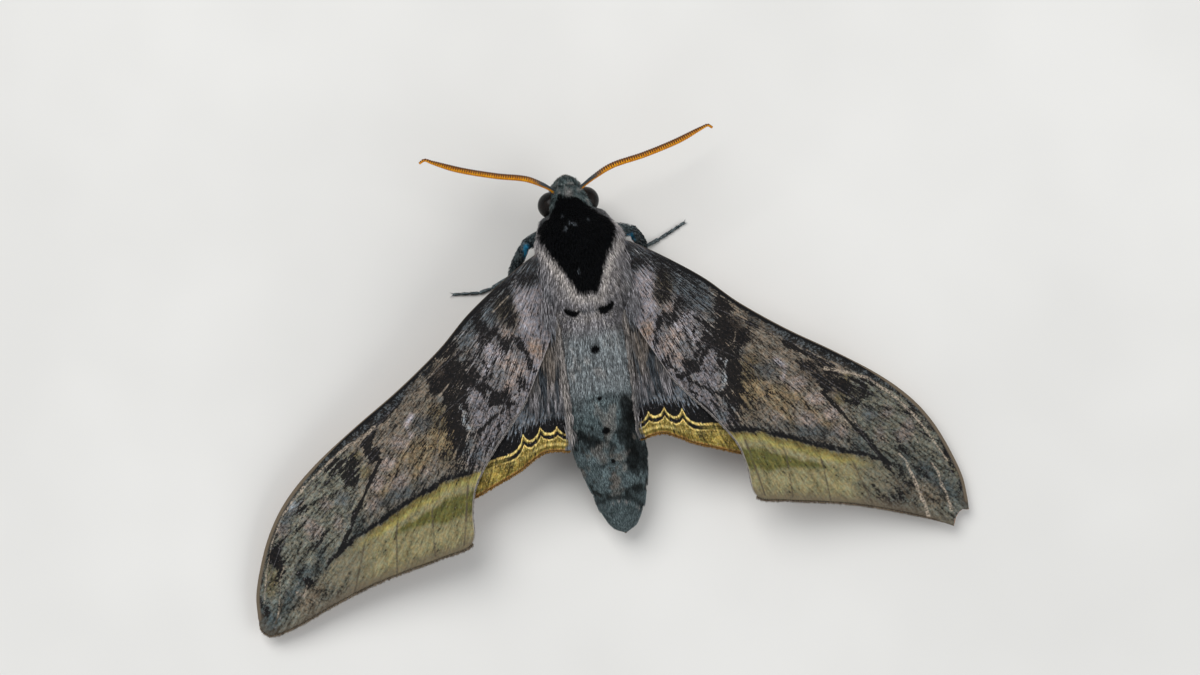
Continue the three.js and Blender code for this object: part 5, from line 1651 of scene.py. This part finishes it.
def make_leg(name, material):
    """Thigh, shin with spurs, five foot segments and a pair of claws."""
    side, front = (1 if "left" in name else -1), "fore" in name
    hip = np.array([side * 1.5, node_points(f"{name}_femur")[:, 1].mean(), 3.0])
    thigh = spine(f"{name}_femur", hip, 4)
    shin = spine(f"{name}_tibia", thigh[-1], 4)
    foot = spine(f"{name}_foot", shin[-1], 6)
    knee = (thigh[-1] + shin[0]) / 2
    ankle = (shin[-1] + foot[0]) / 2
    inner = thigh[0] - unit(thigh[-1] - thigh[0]) * 0.8
    up = np.array([0, 0, 1.0])
    shells = [article(inner, knee, 0.55, 0.78, 0.56, bow=0.1), article(knee, ankle, 0.52, 0.6, 0.36)]
    shells.append(article(knee - 0.3 * up, knee + 0.3 * up, 0.4, 0.56, 0.4, steps=8))
    way = smooth_curve(foot, np.array([0, 0.36, 0.56, 0.72, 0.86, 1.0]))
    way[0] = ankle * 0.6 + way[0] * 0.4
    for k in range(5):
        radius = 0.24 - 0.018 * k
        a, b = way[k], way[k + 1] + unit(way[k + 1] - way[k]) * 0.06
        if k:
            a[2] = radius
        b[2] = radius
        shells.append(article(a, b, radius * 0.72, radius * 0.9, radius, sides=12, steps=9))
    ahead = unit(way[-1] - way[-2])
    beside = unit(np.cross(ahead, up))
    t = np.linspace(0, 1, 8)[:, None]
    for aside in (-1, 1):
        hook = beside * aside * (0.08 + 0.2 * t) + up * (0.12 * np.sin(3 * t) - 0.14 * t)
        shells.append(loft(sweep(way[-1] + ahead * 0.42 * t + hook, 0.055 * (1 - 0.85 * t.ravel()), 8)))
    shin_way = unit(ankle - knee)
    t = np.linspace(0, 1, 7)[:, None]
    for k in range({"fore": 1, "mid_": 2, "hind": 4}[name[:4]]):
        root = knee + (ankle - knee) * (0.94 if k < 2 else 0.62)
        out = unit(np.cross(shin_way, up)) * (1 if k % 2 else -1) * 0.5 + shin_way
        shells.append(loft(sweep(root + unit(out) * 1.1 * t, 0.1 * (1 - 0.8 * t.ravel()), 8)))
    points, faces = joined(shells)
    points[:, 2] = np.maximum(points[:, 2], 0.0)

    def per_shell(values):
        return np.concatenate([np.tile(value, (len(shell[0]), 1)) for shell, value in zip(shells, values)])

    claws_and_spurs = [0.0] * (len(shells) - 8)
    glint = per_shell([float(front)] * 3 + [0.0] * 5 + claws_and_spurs).ravel()
    size = per_shell([0.55, 0.5, 0.4] + [0.22] * 5 + claws_and_spurs).ravel()
    # painted highlight: the blue glint on each front thigh
    shine = spot(points[:, :2], *GLINTS[side])
    glint = glint * (1 - rise(shine + 0.25 * noise(points, 0.5, 8), -0.1, 0.15))
    lie = per_shell([unit(shell[0][-1] - shell[0][-2]) for shell in shells])
    flat_uv = (points[:, :2] * 0.03) % 1
    tone = np.where(noise(points, 0.8, 3)[:, None] > 0, LEG_SLATE, LEG_PALE)
    fields = {"glint": glint, "lie": lie, "coat": size, "thick": (size > 0) * (points[:, 2] > 0.12)}
    leg = closed_piece(name, points, faces, material, fields, blend(tone, LEG_GLINT_BLUE, glint), flat_uv)
    seed = 50 + LEG_NAMES.index(name)
    grow(f"coat_{name}", leg, "leg_scales", Density=34.0, Width=0.045, Lift=0.12, Mess=0.1, Seed=seed)
    settle(leg, "leg_scales", *(f"{name}_{part}" for part in ("femur", "tibia", "foot")))


PALP_WAY = [(1.15, -6.2, 3.8), (1.15, -7.3, 4.1), (1.1, -7.85, 5.1), (1.0, -7.75, 6.2)]


def make_palps(material):
    sides, stations = 16, 26
    t = np.linspace(0, 1, stations)
    radius = (0.36 + 0.14 * np.sin(np.pi * t)) * np.sqrt(np.clip(np.minimum(t, 1 - t) * 9 + 0.1, 0, 1))
    around = np.append(np.tile(np.arange(sides) / sides, stations), [0, 0])
    uv = np.column_stack([np.append(np.repeat(t, sides), [0, 1]), around]) * 0.3
    for label, held in SIDES.items():
        path = smooth_curve(np.array(PALP_WAY) * (held["side"], 1, 1) + (HEAD_SHIFT, 0, 0), t)
        points, faces = loft(sweep(path, radius, sides))
        ahead = np.repeat(unit(np.gradient(path, axis=0)), sides, axis=0)
        lie = np.vstack([ahead, ahead[0], ahead[-1]])
        tint = blend(FACE_GREY * 0.8, HAIR_GREY, rise(noise(points, 0.7, 2), -0.2, 0.5) * 0.6)
        one = np.ones(len(points))
        fields = {"glint": 0 * one, "lie": lie, "coat": 0.55 * one, "thick": one}
        palp = closed_piece(f"palp_{label}_skin", points, faces, material, fields, tint, uv)
        seed = 70 + held["side"]
        grow(f"coat_palp_{label}", palp, "fur_slate", Density=75.0, Width=0.045, Lift=0.25, Mess=0.15,
             Seed=seed)
        settle(palp, "fur_slate", f"palp_{label}")


def tongue_material():
    m = Finish("tongue_horn", Specular_IOR_Level=0.5)
    place = m.object_place()
    base = m.mix(m.step(m.noise(place, 4.0, 3.0), 0.4, 0.6), colour(96, 60, 30), colour(140, 92, 50))
    rough = m.step(m.noise(place, 9.0, 2.0), 0.3, 0.7, 0.3, 0.5)
    return m.done(Base_Color=base, Roughness=rough, Normal=m.bump(m.noise(place, 20.0, 1.0), 0.01, 0.6))


def make_tongue():
    """A coiled, ridged tube with a groove along its outer side."""
    t = np.linspace(0, 1, 260)
    angle = 1.2 + t * 1.6 * 2 * np.pi
    reach = 1.2 - 0.88 * t
    nothing = 0 * t
    path = np.column_stack([HEAD_SHIFT + nothing, -7.3 + reach * np.cos(angle), 3.9 + reach * np.sin(angle)])
    across = np.column_stack([1 + nothing, nothing, nothing])
    out = np.column_stack([nothing, np.cos(angle), np.sin(angle)])
    thick = 0.21 * (1 - 0.45 * t) * (1 + 0.07 * np.sin(t * 190))
    turn = np.linspace(0, 2 * np.pi, 12, endpoint=False)[None, :, None]
    groove = 1 - 0.18 * np.exp(-(((turn - np.pi / 2) / 0.4) ** 2))
    outline = np.cos(turn) * across[:, None] + np.sin(turn) * out[:, None]
    points, faces = loft(path[:, None] + thick[:, None, None] * groove * outline)
    tongue = closed_piece("tongue", points, faces, tongue_material())
    settle(tongue, "leg_scales", "proboscis")


# ---- Room: floor, lights and camera ----

CAMERA_TARGET = (-1.75, 10.3, 0.0)
CAMERA_DISTANCE = 380.0
CAMERA_TILT = 6.5  # degrees from straight down, towards the moth's left
CAMERA_ROLL = 9.1
VIEW_WIDTH = 144.0  # millimetres of floor across the view
FLOOR_REACH = 3000.0  # millimetres from the moth to the floor's sides
BACKDROP = colour(224, 224, 221)
SKY_TONE, SKY_STRENGTH = np.array([0.9, 0.95, 1.0]), 0.42
# Each lamp's place and size in metres, and its power in watts.
LAMPS = {"key_light": ((0.3, -0.5, 0.75), 0.6, 6.6), "fill_light": ((-0.6, 0.35, 0.6), 0.7, 3.0)}
LIT_POINT = Vector((0.0, 0.0, 0.005))


def seen_itself(m):
    """1 for what the camera, a gloss or glass shows, and 0 for the light that falls on the moth."""
    path = m.node("ShaderNodeLightPath").outputs
    return m.math("MAXIMUM", m.math("MAXIMUM", path["Is Camera Ray"], path["Is Glossy Ray"]),
                  path["Is Transmission Ray"])


def make_floor():
    """A pale floor that runs out into the backdrop's own tone."""
    m = Finish("pale_floor", Roughness=0.85, Specular_IOR_Level=0.2, Emission_Color=BACKDROP)
    place = m.object_place()
    tone = m.mix(m.step(m.noise(place, 0.02, 3.0), 0.3, 0.7), colour(226, 224, 220), colour(218, 216, 212))
    away = m.node("ShaderNodeVectorMath", {0: place}, operation="LENGTH").outputs["Value"]
    far = m.times(m.step(away, 150, 900), seen_itself(m))
    material = m.done(Base_Color=m.mix(far, tone, colour(0, 0, 0)), Emission_Strength=far)
    corners = [(-FLOOR_REACH, -FLOOR_REACH, 0), (FLOOR_REACH, -FLOOR_REACH, 0),
               (FLOOR_REACH, FLOOR_REACH, 0), (-FLOOR_REACH, FLOOR_REACH, 0)]
    floor = new_piece("floor", corners, [(0, 1, 2, 3)], material)


def make_lamp(name, place, size, power):
    lamp = bpy.data.lights.new(name, "AREA")
    lamp.size, lamp.energy = size, power
    made = placed(name, lamp)
    made.location = place
    made.rotation_euler = (LIT_POINT - Vector(place)).to_track_quat("-Z", "Y").to_euler()


def make_room():
    make_floor()
    for name, values in LAMPS.items():
        make_lamp(name, *values)
    world = bpy.data.worlds.new("room")
    world.use_nodes = True
    m = Maker(world.node_tree)
    seen, sky = seen_itself(m), world.node_tree.nodes["Background"]
    m.put(sky.inputs["Color"], m.mix(seen, SKY_TONE, BACKDROP))
    m.put(sky.inputs["Strength"], m.step(seen, 0.0, 1.0, SKY_STRENGTH, 1.0))
    bpy.context.scene.world = world
    bpy.context.scene.view_settings.view_transform = "Standard"


def make_camera():
    lens = bpy.data.cameras.new("camera")
    lens.sensor_width = 36.0
    lens.lens = lens.sensor_width * CAMERA_DISTANCE / VIEW_WIDTH
    lens.clip_start, lens.clip_end = 0.01, 10
    camera = placed("camera", lens)
    tilt, roll = math.radians(CAMERA_TILT), math.radians(CAMERA_ROLL)
    back = Vector((math.sin(tilt), 0, math.cos(tilt)))
    head = Vector((0, -1, 0))
    right = (-back).cross(head)
    up = head * math.cos(roll) + right * math.sin(roll)
    right = (-back).cross(up)
    turn = Matrix((right, up, back)).transposed().to_4x4()
    place = Vector(to_frame(CAMERA_TARGET)) + back * CAMERA_DISTANCE * MM
    camera.matrix_world = Matrix.Translation(place) @ turn
    bpy.context.scene.camera = camera


# ---- Put together ----

make_camera()
make_room()
make_body()
for wing_side in SIDES:
    make_wing(wing_side, "hindwing")
    make_wing(wing_side, "forewing")
make_eyes()
make_feelers()
LEG_SCALES = leg_material()
for leg_name in LEG_NAMES:
    make_leg(leg_name, LEG_SCALES)
make_palps(LEG_SCALES)
make_tongue()
bpy.data.objects.remove(TUFT)
